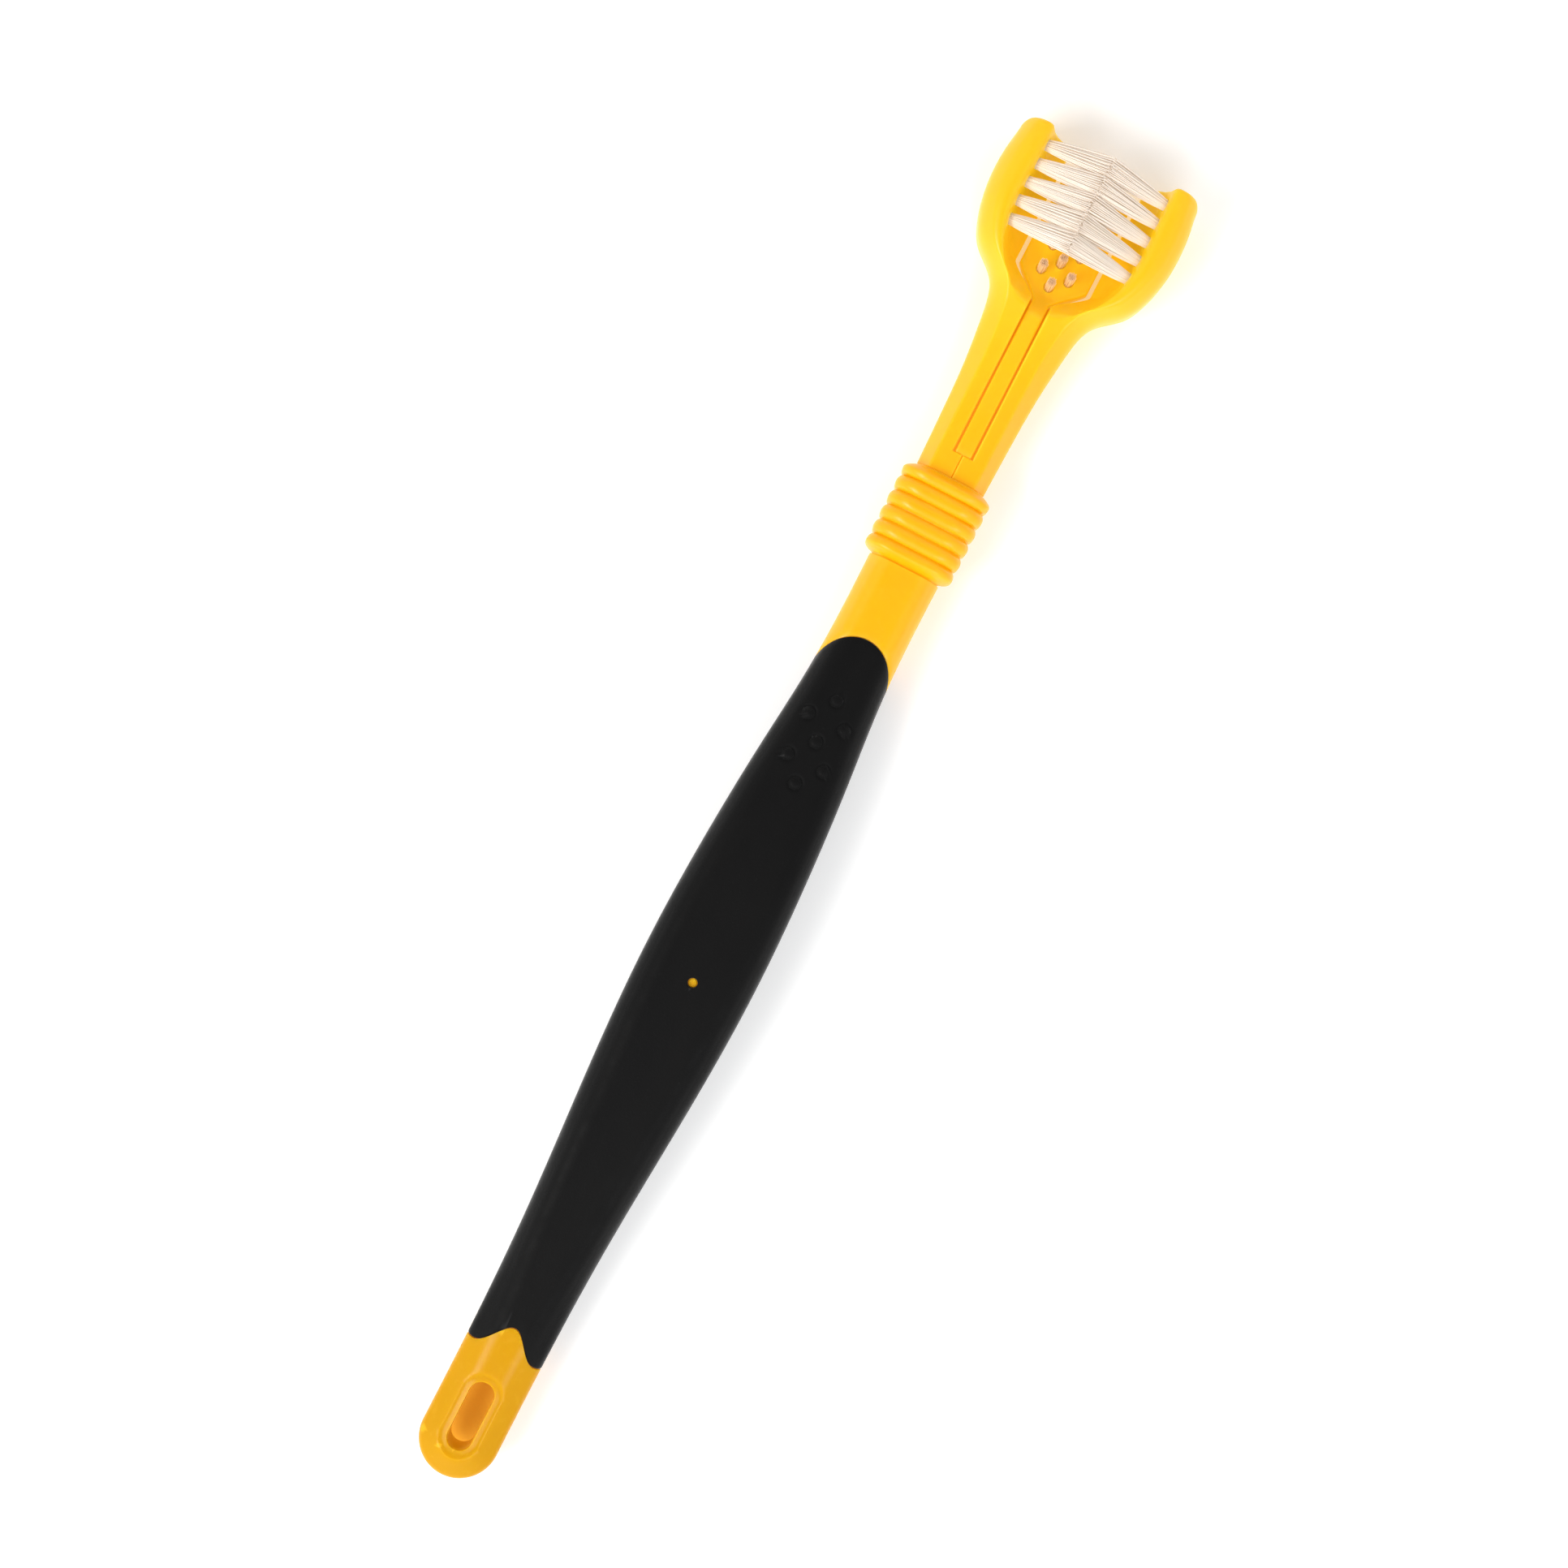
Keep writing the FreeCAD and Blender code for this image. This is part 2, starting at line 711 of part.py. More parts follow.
def make_arm_plan():
    """The left arm's half of the head, with its blunt tip, as an upright prism."""
    end = "sizes.overall_length"
    return pad_body(
        "arm_plan",
        "XY_Plane",
        [
            ("sizes.collar_end + sizes.collar_gap", "sizes.arm_seam"),
            (f"{end} - sizes.tip_inner_drop * 2", "sizes.arm_seam"),
            (f"{end} - sizes.tip_inner_drop", "sizes.pad_half"),
            (end, "sizes.tip_inner_half"),
            (end, "sizes.tip_outer_half"),
            (f"{end} - sizes.tip_corner", "sizes.tip_outer_half + sizes.tip_corner"),
            (f"{end} - sizes.tip_corner", "sizes.cut_depth"),
            ("sizes.collar_end + sizes.collar_gap", "sizes.cut_depth"),
        ],
        "sizes.cut_depth",
    )


def make_left_arm(tuft_holes):
    shell = loft_body("head_loft", [head_section(name) for name in HEAD_SECTIONS])
    scoop = loft_body("tooth_scoop", [scoop_section(name) for name in SCOOP_SECTIONS])
    wing = common("left_wing", [shell, make_arm_plan()])
    root = pad_body(
        "left_root",
        "XY_Plane",
        [
            ("sizes.root_start", "sizes.root_inner_at_tip"),
            ("sizes.collar_end + sizes.root_overlap", "sizes.root_inner_at_mouth"),
            ("sizes.collar_end + sizes.root_overlap", "sizes.root_outer"),
            ("sizes.root_start", "sizes.root_outer_at_tip"),
        ],
        "sizes.root_front - sizes.root_back",
        "sizes.root_back * 1 mm",
    )
    stock = fuse("left_arm_stock", [wing, root])
    hollows = fuse("arm_hollows", [make_tongue_clearance(), scoop])
    arm = cut("left_arm_cut", cut("left_arm_open", stock, hollows), group("left_holes", tuft_holes))
    finish(arm, "left_arm")
    finish_mirrored(arm, "right_arm")


# --- Bristle tufts --------------------------------------------------------------


def along(station, out, up, tilt, distance):
    """Placement expressions of a point on a tuft's axis, a distance out from its base."""
    return {
        "Placement__Base__x": station,
        "Placement__Base__y": f"{out} - ({distance}) * cos({tilt} * 1 deg)",
        "Placement__Base__z": f"{up} + ({distance}) * sin({tilt} * 1 deg)",
        "Placement__Rotation__Angle": f"90 deg - {tilt} * 1 deg",
    }


def on_axis(kind, name, place, **dimensions):
    """A primitive whose own axis is turned about X, from +Z towards -Y, by an angle bound to the sheet."""
    solid = primitive(kind, name, **dimensions)
    solid.Placement = FreeCAD.Placement(FreeCAD.Vector(), FreeCAD.Rotation(FreeCAD.Vector(1, 0, 0), 90))
    for path, expression in place.items():
        solid.setExpression(path.replace("__", "."), expression)
    return solid


def make_tuft(name, kind, base, reach, tip_radius):
    """One tuft, its hole and its anchor plate. base is (station, out, up, tilt)."""
    depth = f"sizes.{kind}_hole_depth"
    hole = on_axis(
        "Cylinder",
        f"{name}_hole",
        along(*base, f"-{depth}"),
        Radius=f"sizes.{kind}_hole_radius",
        Height=f"{depth} + sizes.hole_past_surface",
    )
    seat = f"sizes.anchor_height + 2 * sizes.anchor_clearance - {depth}"
    root = on_axis(
        "Cylinder",
        f"{name}_root",
        along(*base, seat),
        Radius=f"sizes.{kind}_root_radius",
        Height=f"sizes.tuft_overlap - ({seat})",
    )
    brush = on_axis(
        "Cone",
        f"{name}_brush",
        along(*base, "0"),
        Radius1=f"sizes.{kind}_root_radius",
        Radius2=tip_radius,
        Height=reach,
    )
    anchor = on_axis(
        "Box",
        f"{name}_anchor",
        along(*base, f"sizes.anchor_clearance - {depth}"),
        Length="sizes.anchor_width",
        Width="sizes.anchor_thickness",
        Height="sizes.anchor_height",
    )
    anchor.setExpression("Placement.Base.x", f"{base[0]} - sizes.anchor_width / 2")
    return {"hole": hole, "tuft": fuse(name, [root, brush]), "anchor": anchor}


def make_side_tuft(number):
    station = f"sizes.side_row_start - {number} * sizes.side_row_pitch"
    return make_tuft(
        f"left_tuft_{number}",
        "side",
        (station, "sizes.side_base_out", "sizes.side_base_up", "sizes.side_tilt"),
        "sizes.side_length",
        "sizes.side_tip_radius",
    )


def make_centre_row(number):
    station = f"sizes.centre_row_start + {number} * sizes.centre_row_pitch"
    sides = (0,) if number % 2 == 0 else (-1, 1)
    return [
        make_tuft(
            f"centre_tuft_{number}_{side + 1}",
            "centre",
            (station, f"{side} * sizes.centre_spread", "sizes.pad_front", "90"),
            "sizes.centre_length",
            "sizes.centre_tip_radius",
        )
        for side in sides
    ]


def make_bristles_and_head():
    side_tufts = [make_side_tuft(number) for number in range(SIDE_ROWS)]
    centre_rows = [make_centre_row(number) for number in range(CENTRE_ROWS)]
    make_left_arm([tuft["hole"] for tuft in side_tufts])
    make_tongue([tuft["hole"] for row in centre_rows for tuft in row])

    for number, parts in enumerate(side_tufts, start=1):
        finish(parts["tuft"], f"left_tuft_row_{number}")
        finish_mirrored(parts["tuft"], f"right_tuft_row_{number}")
    for number, row in enumerate(centre_rows, start=1):
        tufts = group(f"centre_row_{number}", [tuft["tuft"] for tuft in row])
        finish(tufts, f"centre_tuft_row_{number}")

    left_anchors = group("left_anchor_set", [tuft["anchor"] for tuft in side_tufts])
    finish(left_anchors, "left_tuft_anchors")
    finish_mirrored(left_anchors, "right_tuft_anchors")
    centre_anchors = group("centre_anchor_set", [tuft["anchor"] for row in centre_rows for tuft in row])
    finish(centre_anchors, "centre_tuft_anchors")


# --- Build, check, write --------------------------------------------------------


def check_document():
    for item in doc.Objects:
        states = [state for state in item.State if state in ("Invalid", "Error")]
        if states:
            raise RuntimeError(f"{item.Label} failed: {item.State}")
    for piece in finished:
        if piece.Shape.isNull() or not piece.Shape.isValid():
            raise RuntimeError(f"{piece.Label} has no valid shape")


def write_parts():
    os.makedirs("parts", exist_ok=True)
    for piece in finished:
        piece.Shape.exportStep(f"parts/{piece.Label}.step")


make_handle()
make_collar()
make_bristles_and_head()
doc.recompute()
check_document()
write_parts()
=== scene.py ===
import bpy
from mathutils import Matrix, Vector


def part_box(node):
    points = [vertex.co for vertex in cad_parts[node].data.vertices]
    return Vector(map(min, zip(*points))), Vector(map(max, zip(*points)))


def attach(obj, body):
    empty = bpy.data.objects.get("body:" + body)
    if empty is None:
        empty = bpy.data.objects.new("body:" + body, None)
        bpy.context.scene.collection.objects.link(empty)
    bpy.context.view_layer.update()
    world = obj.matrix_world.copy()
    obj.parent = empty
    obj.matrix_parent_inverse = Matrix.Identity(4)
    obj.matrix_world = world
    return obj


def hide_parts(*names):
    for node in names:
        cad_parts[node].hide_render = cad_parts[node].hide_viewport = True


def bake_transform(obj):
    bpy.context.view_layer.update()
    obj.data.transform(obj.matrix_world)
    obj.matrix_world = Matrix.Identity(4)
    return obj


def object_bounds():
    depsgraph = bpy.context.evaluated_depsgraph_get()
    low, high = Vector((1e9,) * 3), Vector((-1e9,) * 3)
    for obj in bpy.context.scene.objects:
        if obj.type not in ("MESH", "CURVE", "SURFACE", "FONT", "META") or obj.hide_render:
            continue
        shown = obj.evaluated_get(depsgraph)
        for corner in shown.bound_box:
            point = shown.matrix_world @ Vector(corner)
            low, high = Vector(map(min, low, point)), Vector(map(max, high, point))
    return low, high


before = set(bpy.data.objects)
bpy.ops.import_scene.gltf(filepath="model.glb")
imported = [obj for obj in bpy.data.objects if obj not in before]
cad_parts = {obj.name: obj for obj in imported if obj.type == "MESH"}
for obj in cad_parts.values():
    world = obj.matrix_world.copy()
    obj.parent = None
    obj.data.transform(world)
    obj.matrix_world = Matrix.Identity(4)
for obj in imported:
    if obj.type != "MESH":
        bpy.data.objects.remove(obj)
cad_box = [list(corner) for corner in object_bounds()]

import math
import random

import bmesh
import bpy
import numpy as np
from mathutils import Matrix, Vector

# Shapes are worked out in millimetres, along a station line from the tail end of the
# handle, and moved into the frame (metres) when a mesh is made.
MM = 0.001
TAIL = cad_box[0][0] / MM


def node_span(node, axis):
    """Lowest and highest place of a CAD node along an axis: stations for X, millimetres for Y and Z."""
    low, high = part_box(node)
    shift = TAIL if axis == 0 else 0.0
    return low[axis] / MM - shift, high[axis] / MM - shift


OVERALL = cad_box[1][0] / MM - TAIL
COLLAR_START, COLLAR_END = node_span("retaining_collar", 0)
GRIP_START, GRIP_END = node_span("grip_overmould", 0)
CORE_END = node_span("handle_core", 0)[1]
ROOT_START = node_span("left_arm", 0)[0]
PAD_END = node_span("centre_tongue", 0)[1]
PAD_HALF = node_span("centre_tongue", 1)[1]

MID_HEIGHT = 5.5
BEVEL_DROP = 2.6
TAIL_RADIUS = 6.05
SLOT = {"start": 4.95, "end": 15.4, "half": 1.83}
DISH = {"margin": 1.35, "depth": 0.38}
GRIP_WALL = 1.7
BELL_RISE = 4.35
BELL_REACH = 5.2
ARCH = {"half": 5.95, "length": 6.8, "rise": 0.3, "edge": 1.15, "hold": 5.0, "fade": 30.0}
ARCH_TOP = GRIP_END - 0.15
THUMB = {
    "start": 113.45, "pitch": 3.32, "count": 5, "spread": 2.9, "radius": 0.92, "rise": 0.4, "moat": 0.12,
}
PIN = {"station": 81.2, "radius": 0.72, "depth": 0.7, "clearance": 0.06}
RIB = {"start": 149.95, "pitch": 2.36, "count": 6, "rise": 0.85}

# station, half width, half width of the flat facets, height of the back, height of the front
HANDLE_SECTIONS = (
    (0.0, 6.05, 2.4, 2.2, 8.8),
    (24.0, 6.05, 2.6, 1.8, 9.4),
    (40.0, 6.5, 4.0, 0.9, 10.7),
    (59.0, 7.65, 5.0, 0.0, 12.2),
    (82.0, 8.65, 6.1, 0.0, 13.0),
    (101.0, 8.15, 5.9, 0.0, 12.8),
    (117.0, 7.0, 4.7, 0.5, 11.7),
    (129.0, 5.95, 3.6, 1.2, 10.3),
    (138.0, 5.6, 3.5, 1.6, 9.7),
    (148.35, 5.6, 3.5, 1.8, 9.5),
)
HEAD_SECTIONS = (
    (163.3, 5.45, 3.4, 2.2, 8.8),
    (172.0, 5.7, 3.5, 2.2, 8.8),
    (180.0, 6.1, 3.7, 2.1, 8.8),
    (186.0, 6.75, 4.2, 1.7, 9.3),
    (190.0, 7.45, 4.9, 1.1, 10.0),
    (193.0, 9.1, 6.5, 0.6, 10.7),
    (195.3, 11.7, 9.1, 0.3, 11.2),
    (198.0, 13.4, 10.9, 0.0, 11.6),
    (202.5, 14.7, 12.3, 0.0, 12.0),
    (207.0, 15.0, 12.6, 0.0, 12.0),
    (211.5, 14.7, 12.3, 0.0, 12.0),
    (215.0, 14.2, 11.9, 0.2, 11.7),
)
# station, floor height, knee half width and height, half width at the open top
SCOOP_SECTIONS = (
    (190.0, 10.0, 3.4, 11.0, 4.0),
    (194.5, 6.6, 6.9, 9.0, 7.6),
    (199.0, 5.2, 8.7, 6.9, 9.7),
    (206.8, 5.0, 9.2, 6.7, 10.2),
    (212.0, 5.0, 9.1, 6.7, 10.0),
    (217.0, 5.0, 8.9, 6.7, 9.8),
)


# --- Numbers --------------------------------------------------------------------


def natural_spline(knots, values):
    """Natural cubic through the knots, as a function of the station."""
    x, y = np.array(knots, float), np.array(values, float)
    n = len(x)
    step = np.diff(x)
    matrix, right = np.eye(n), np.zeros(n)
    for i in range(1, n - 1):
        matrix[i, i - 1 : i + 2] = step[i - 1], 2 * (step[i - 1] + step[i]), step[i]
        right[i] = 6 * ((y[i + 1] - y[i]) / step[i] - (y[i] - y[i - 1]) / step[i - 1])
    bend = np.linalg.solve(matrix, right)

    def value(at):
        at = min(max(at, x[0]), x[-1])
        i = min(max(int(np.searchsorted(x, at)) - 1, 0), n - 2)
        a, b = (x[i + 1] - at) / step[i], (at - x[i]) / step[i]
        curve = (a**3 - a) * bend[i] + (b**3 - b) * bend[i + 1]
        return a * y[i] + b * y[i + 1] + curve * step[i] ** 2 / 6

    return value


def splines(table):
    """One spline for each column of a table whose first column is the station."""
    columns = list(zip(*table))
    return [natural_spline(columns[0], column) for column in columns[1:]]


def smooth(at, low, high):
    """0 before low, 1 after high, and an even S between them."""
    t = min(max((at - low) / (high - low), 0.0), 1.0)
    return t * t * (3 - 2 * t)


def span(start, end, step):
    """Even stations from start to end, about one step apart."""
    return list(np.linspace(start, end, max(2, int(round((end - start) / step)) + 1)))


def joined_spans(*stretches):
    """Stations of several (end, step) stretches in turn; the first entry is the start."""
    start, *rest = stretches
    stations = [start]
    for end, step in rest:
        stations += span(stations[-1], end, step)[1:]
    return stations


# --- Rings and skins ------------------------------------------------------------


def rounded_path(corners, radii, corner_steps, side_steps, closed=True):
    """Points round a polygon whose corners are rounded. side_steps divides the side after each corner."""
    count = len(corners)
    points = []
    trims = []
    for i in range(count):
        here = np.array(corners[i], float)
        before, after = np.array(corners[i - 1], float), np.array(corners[(i + 1) % count], float)
        end_corner = not closed and i in (0, count - 1)
        reach = 0.0 if end_corner else radii[i]
        a, b = before - here, after - here
        la, lb = np.linalg.norm(a) + 1e-9, np.linalg.norm(b) + 1e-9
        reach = min(reach, 0.48 * la, 0.48 * lb)
        trims.append((here + a / la * reach, here, here + b / lb * reach, end_corner))
    for i, (start, here, end, end_corner) in enumerate(trims):
        if end_corner:
            points.append(here)
        else:
            for t in np.linspace(0, 1, corner_steps + 1):
                points.append(start * (1 - t) ** 2 + here * 2 * t * (1 - t) + end * t**2)
        if closed or i < count - 1:
            next_start, next_corner, _, next_is_end = trims[(i + 1) % count]
            following = next_corner if next_is_end else next_start
            last = points[-1]
            for t in np.linspace(0, 1, side_steps[i] + 1)[1:-1]:
                points.append(last + (following - last) * t)
    return np.array(points)


def inset_ring(ring, distance):
    """The ring moved inwards by a distance, along its own normals."""
    forward = np.roll(ring, -1, axis=0) - np.roll(ring, 1, axis=0)
    length = np.linalg.norm(forward, axis=1)[:, None] + 1e-9
    inward = np.stack([-forward[:, 1], forward[:, 0]], axis=1) / length
    return ring + inward * distance


def skin(name, rings, start_cap=True, closed=False):
    """A mesh object through rings of (station, out, up) points in millimetres."""
    count = len(rings[0])
    vertices = [((TAIL + x) * MM, y * MM, z * MM) for ring in rings for x, y, z in ring]
    faces = []
    loops = len(rings) if closed else len(rings) - 1
    for i in range(loops):
        a, b = i * count, ((i + 1) % len(rings)) * count
        for j in range(count):
            k = (j + 1) % count
            faces.append((a + j, a + k, b + k, b + j))
    if not closed:
        faces.append(tuple(range((len(rings) - 1) * count, len(rings) * count)))
        if start_cap:
            faces.append(tuple(range(count))[::-1])
    return mesh_object(name, vertices, faces)


def mesh_object(name, vertices, faces):
    """A linked object with its doubled points merged, its caps triangulated and its normals outward."""
    mesh = bpy.data.meshes.new(name)
    mesh.from_pydata(vertices, [], faces)
    work = bmesh.new()
    work.from_mesh(mesh)
    bmesh.ops.remove_doubles(work, verts=work.verts, dist=1e-7)
    big = [face for face in work.faces if len(face.verts) > 4]
    if big:
        bmesh.ops.triangulate(work, faces=big)
    bmesh.ops.recalc_face_normals(work, faces=work.faces)
    work.to_mesh(mesh)
    work.free()
    piece = bpy.data.objects.new(name, mesh)
    bpy.context.scene.collection.objects.link(piece)
    return piece


def shade(piece, sharp_degrees=38):
    """Smooth shading, except at edges sharper than this."""
    piece.data.shade_smooth()
    piece.data.set_sharp_from_angle(angle=math.radians(sharp_degrees))


def carve(piece, tool):
    """Cuts the tool out of the piece and removes the tool."""
    change = piece.modifiers.new("carve", "BOOLEAN")
    change.operation = "DIFFERENCE"
    change.solver = "EXACT"
    change.object = tool
    bpy.context.view_layer.update()
    graph = bpy.context.evaluated_depsgraph_get()
    carved = bpy.data.meshes.new_from_object(piece.evaluated_get(graph))
    piece.modifiers.clear()
    piece.data = carved
    bpy.data.objects.remove(tool)


def join(name, pieces):
    """One object from several separate closed meshes."""
    work = bmesh.new()
    for piece in pieces:
        work.from_mesh(piece.data)
    mesh = bpy.data.meshes.new(name)
    work.to_mesh(mesh)
    work.free()
    for piece in pieces:
        bpy.data.objects.remove(piece)
    joined = bpy.data.objects.new(name, mesh)
    bpy.context.scene.collection.objects.link(joined)
    return joined


def place(piece, material, slot, *nodes):
    """Gives the piece its material, and lets it stand for CAD nodes. The slot is not used."""
    piece.data.materials.clear()
    piece.data.materials.append(material)
    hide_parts(*nodes)
    return piece


# --- Materials ------------------------------------------------------------------


class Nodes:
    """Small helper that adds and links shader nodes."""

    def __init__(self, name):
        self.material = bpy.data.materials.new(name)
        self.material.use_nodes = True
        self.tree = self.material.node_tree
        self.shader = self.tree.nodes["Principled BSDF"]

    def add(self, kind, **settings):
        node = self.tree.nodes.new(kind)
        for key, value in settings.items():
            setattr(node, key, value)
        return node

    def link(self, source, target):
        self.tree.links.new(source, target)

    def coordinates(self, scale=(1, 1, 1)):
        place_node = self.add("ShaderNodeTexCoord")
        mapping = self.add("ShaderNodeMapping")
        mapping.inputs["Scale"].default_value = scale
        self.link(place_node.outputs["Object"], mapping.inputs["Vector"])
        return mapping.outputs["Vector"]

    def axis(self, name):
        """One coordinate in the frame, in metres, for a shade that follows its place on the brush."""
        split = self.add("ShaderNodeSeparateXYZ")
        self.link(self.coordinates(), split.inputs[0])
        return split.outputs[name]

    def product(self, first, *others):
        """The source sockets multiplied together."""
        for other in others:
            node = self.add("ShaderNodeMath", operation="MULTIPLY")
            self.link(first, node.inputs[0])
            self.link(other, node.inputs[1])
            first = node.outputs[0]
        return first

    def noise(self, scale, detail=4.0, roughness=0.5, stretch=(1, 1, 1)):
        node = self.add("ShaderNodeTexNoise")
        node.inputs["Scale"].default_value = scale
        node.inputs["Detail"].default_value = detail
        node.inputs["Roughness"].default_value = roughness
        self.link(self.coordinates(stretch), node.inputs["Vector"])
        return node.outputs["Fac"]

    def ramp(self, source, *stops):
        node = self.add("ShaderNodeValToRGB")
        while len(node.color_ramp.elements) < len(stops):
            node.color_ramp.elements.new(0.5)
        for element, (position, colour) in zip(node.color_ramp.elements, stops):
            element.position = position
            element.color = (*colour, 1.0)
        self.link(source, node.inputs["Fac"])
        return node.outputs["Color"]

    def mix(self, factor, a, b):
        node = self.add("ShaderNodeMix", data_type="RGBA")
        for socket, value in ((node.inputs[0], factor), (node.inputs[6], a), (node.inputs[7], b)):
            if isinstance(value, bpy.types.NodeSocket):
                self.link(value, socket)
            elif isinstance(value, tuple):
                socket.default_value = (*value, 1.0)
            else:
                socket.default_value = value
        return node.outputs[2]

    def spread(self, source, low, high, out_low, out_high):
        """Maps low..high of the source evenly to out_low..out_high, and holds the ends."""
        node = self.add("ShaderNodeMapRange")
        for socket, value in zip(node.inputs[1:5], (low, high, out_low, out_high)):
            socket.default_value = value
        self.link(source, node.inputs[0])
        return node.outputs[0]

    def bump(self, source, strength, distance, before=None):
        node = self.add("ShaderNodeBump")
        node.inputs["Strength"].default_value = strength
        node.inputs["Distance"].default_value = distance
        self.link(source, node.inputs["Height"])
        if before is not None:
            self.link(before, node.inputs["Normal"])
        return node.outputs["Normal"]

    def pointiness(self):
        return self.add("ShaderNodeNewGeometry").outputs["Pointiness"]

    def set(self, **values):
        """Sets or links the shader's inputs by name, and gives the material."""
        for key, value in values.items():
            socket = self.shader.inputs[key.replace("_", " ")]
            if isinstance(value, bpy.types.NodeSocket):
                self.link(value, socket)
            else:
                socket.default_value = value
        return self.material


def yellow_plastic():
    """Glossy moulded plastic: faint flow clouds, sharp edges painted lighter for light showing through, and
    fine moulding texture.

    Its faint glow is painted light, for light scattered inside: yellower at the head, more orange at the
    tail. The tail is also painted darker, as shade where less light falls.
    """
    n = Nodes("yellow_moulded_plastic")
    clouds = n.noise(55.0, 3.0, 0.55, (0.5, 1.4, 1.4))
    colour = n.ramp(clouds, (0.3, (0.92, 0.38, 0.001)), (0.72, (0.95, 0.43, 0.0025)))
    # Painted shade: the tail is painted darker where less light falls, and tail_end also makes its painted
    # glow more orange.
    tail_end = n.spread(n.axis("X"), -0.085, 0.015, 0.85, 0.0)
    colour = n.mix(tail_end, colour, (0.37, 0.23, 0.0004))
    # Painted light: the glow is an emission standing for light scattered inside. It lifts the shaded hollows,
    # strongest and yellowest in the head's hollow.
    head_end = n.spread(n.axis("X"), 0.055, 0.085, 0.0, 1.0)
    glow = n.mix(head_end, (0.14, 0.085, 0.0), (0.15, 0.185, 0.005))
    glow = n.mix(tail_end, glow, (0.23, 0.055, 0.0))
    gloss = n.spread(n.axis("X"), -0.085, 0.015, 0.16, 0.36)
    specks = n.noise(900.0, 2.0, 0.6)
    colour = n.mix(n.spread(specks, 0.55, 0.8, 0.0, 0.05), colour, (0.99, 0.72, 0.1))
    # Painted light: sharp edges are painted lighter, for light showing through the plastic.
    edges = n.spread(n.pointiness(), 0.52, 0.62, 0.0, 0.3)
    colour = n.mix(edges, colour, (1.0, 0.68, 0.04))
    wear = n.noise(240.0, 5.0, 0.65)
    roughness = n.spread(wear, 0.3, 0.75, 0.28, 0.4)
    fine = n.bump(n.noise(1600.0, 2.0, 0.5), 0.06, 0.00008)
    waves = n.bump(n.noise(90.0, 2.0, 0.4), 0.05, 0.0006, fine)
    return n.set(
        Base_Color=colour,
        Roughness=roughness,
        Normal=waves,
        Subsurface_Weight=0.6,
        Subsurface_Radius=(1.0, 0.65, 0.12),
        Subsurface_Scale=0.003,
        Specular_IOR_Level=gloss,
        Emission_Color=glow,
        Emission_Strength=1.0,
    )


def black_rubber():
    """Matte soft-touch grip: fine grain, dust in the grain and rubbed high spots."""
    n = Nodes("black_soft_rubber")
    broad = n.noise(70.0, 4.0, 0.6, (0.4, 1.0, 1.0))
    colour = n.ramp(broad, (0.25, (0.0034, 0.0034, 0.0036)), (0.8, (0.006, 0.0059, 0.0058)))
    grain = n.noise(2600.0, 3.0, 0.65)
    dust = n.spread(grain, 0.62, 0.85, 0.0, 0.35)
    colour = n.mix(dust, colour, (0.018, 0.0176, 0.0172))
    rubbed = n.spread(n.pointiness(), 0.53, 0.64, 0.0, 0.5)
    colour = n.mix(rubbed, colour, (0.03, 0.03, 0.031))
    roughness = n.spread(n.noise(320.0, 4.0, 0.6), 0.3, 0.75, 0.5, 0.64)
    rough_skin = n.bump(grain, 0.22, 0.00012)
    ripple = n.bump(n.noise(260.0, 3.0, 0.5), 0.12, 0.0002, rough_skin)
    return n.set(
        Base_Color=colour,
        Roughness=roughness,
        Normal=ripple,
        Specular_IOR_Level=0.07,
        Sheen_Weight=0.38,
        Sheen_Roughness=0.34,
    )


def nylon(name, light, shade_colour):
    """Translucent bristle filament: uneven colour, and painted amber bounce light and shade on the low
    bristles in the hollow between the arms.
    """
    n = Nodes(name)
    streaks = n.noise(1500.0, 2.0, 0.5, (1.0, 0.12, 0.12))
    colour = n.ramp(streaks, (0.3, shade_colour), (0.7, light))
    # Painted light and shade: low bristles between the arms are tinted amber, for light bounced off the
    # yellow plastic and their shade there.
    painted_amber_bounce = n.product(
        n.spread(n.axis("Z"), 0.0108, 0.0119, 0.72, 0.0),
        n.spread(n.axis("Y"), -0.0055, -0.0035, 0.0, 1.0),
        n.spread(n.axis("Y"), 0.0035, 0.0055, 1.0, 0.0),
    )
    colour = n.mix(painted_amber_bounce, colour, (0.97, 0.62, 0.28))
    roughness = n.spread(n.noise(600.0), 0.3, 0.7, 0.34, 0.5)
    fine = n.bump(n.noise(5000.0, 2.0, 0.5), 0.04, 0.00002)
    return n.set(
        Base_Color=colour,
        Roughness=roughness,
        Normal=fine,
        Subsurface_Weight=0.3,
        Subsurface_Radius=(1.0, 0.8, 0.65),
        Subsurface_Scale=0.0004,
        Specular_IOR_Level=0.4,
        # Painted light: a faint cream glow, an emission, stands for light scattered inside the bristles.
        Emission_Color=(1.0, 0.84, 0.62, 1.0),
        Emission_Strength=0.06,
    )


def anchor_brass():
    """Drawn brass with a fine lengthwise grain."""
    n = Nodes("anchor_brass")
    colour = n.ramp(n.noise(1800.0), (0.3, (0.55, 0.36, 0.13)), (0.7, (0.72, 0.52, 0.22)))
    roughness = n.spread(n.noise(2500.0), 0.3, 0.7, 0.25, 0.45)
    drawn = n.bump(n.noise(4000.0, 2.0, 0.5, (0.1, 1.0, 1.0)), 0.2, 0.00002)
    return n.set(Base_Color=colour, Roughness=roughness, Normal=drawn, Metallic=1.0)


YELLOW = yellow_plastic()
BLACK = black_rubber()
NYLON = nylon("cream_nylon", (0.92, 0.82, 0.73), (0.88, 0.77, 0.67))
BRASS = anchor_brass()


# --- Handle: core and grip ------------------------------------------------------

HANDLE = splines(HANDLE_SECTIONS)


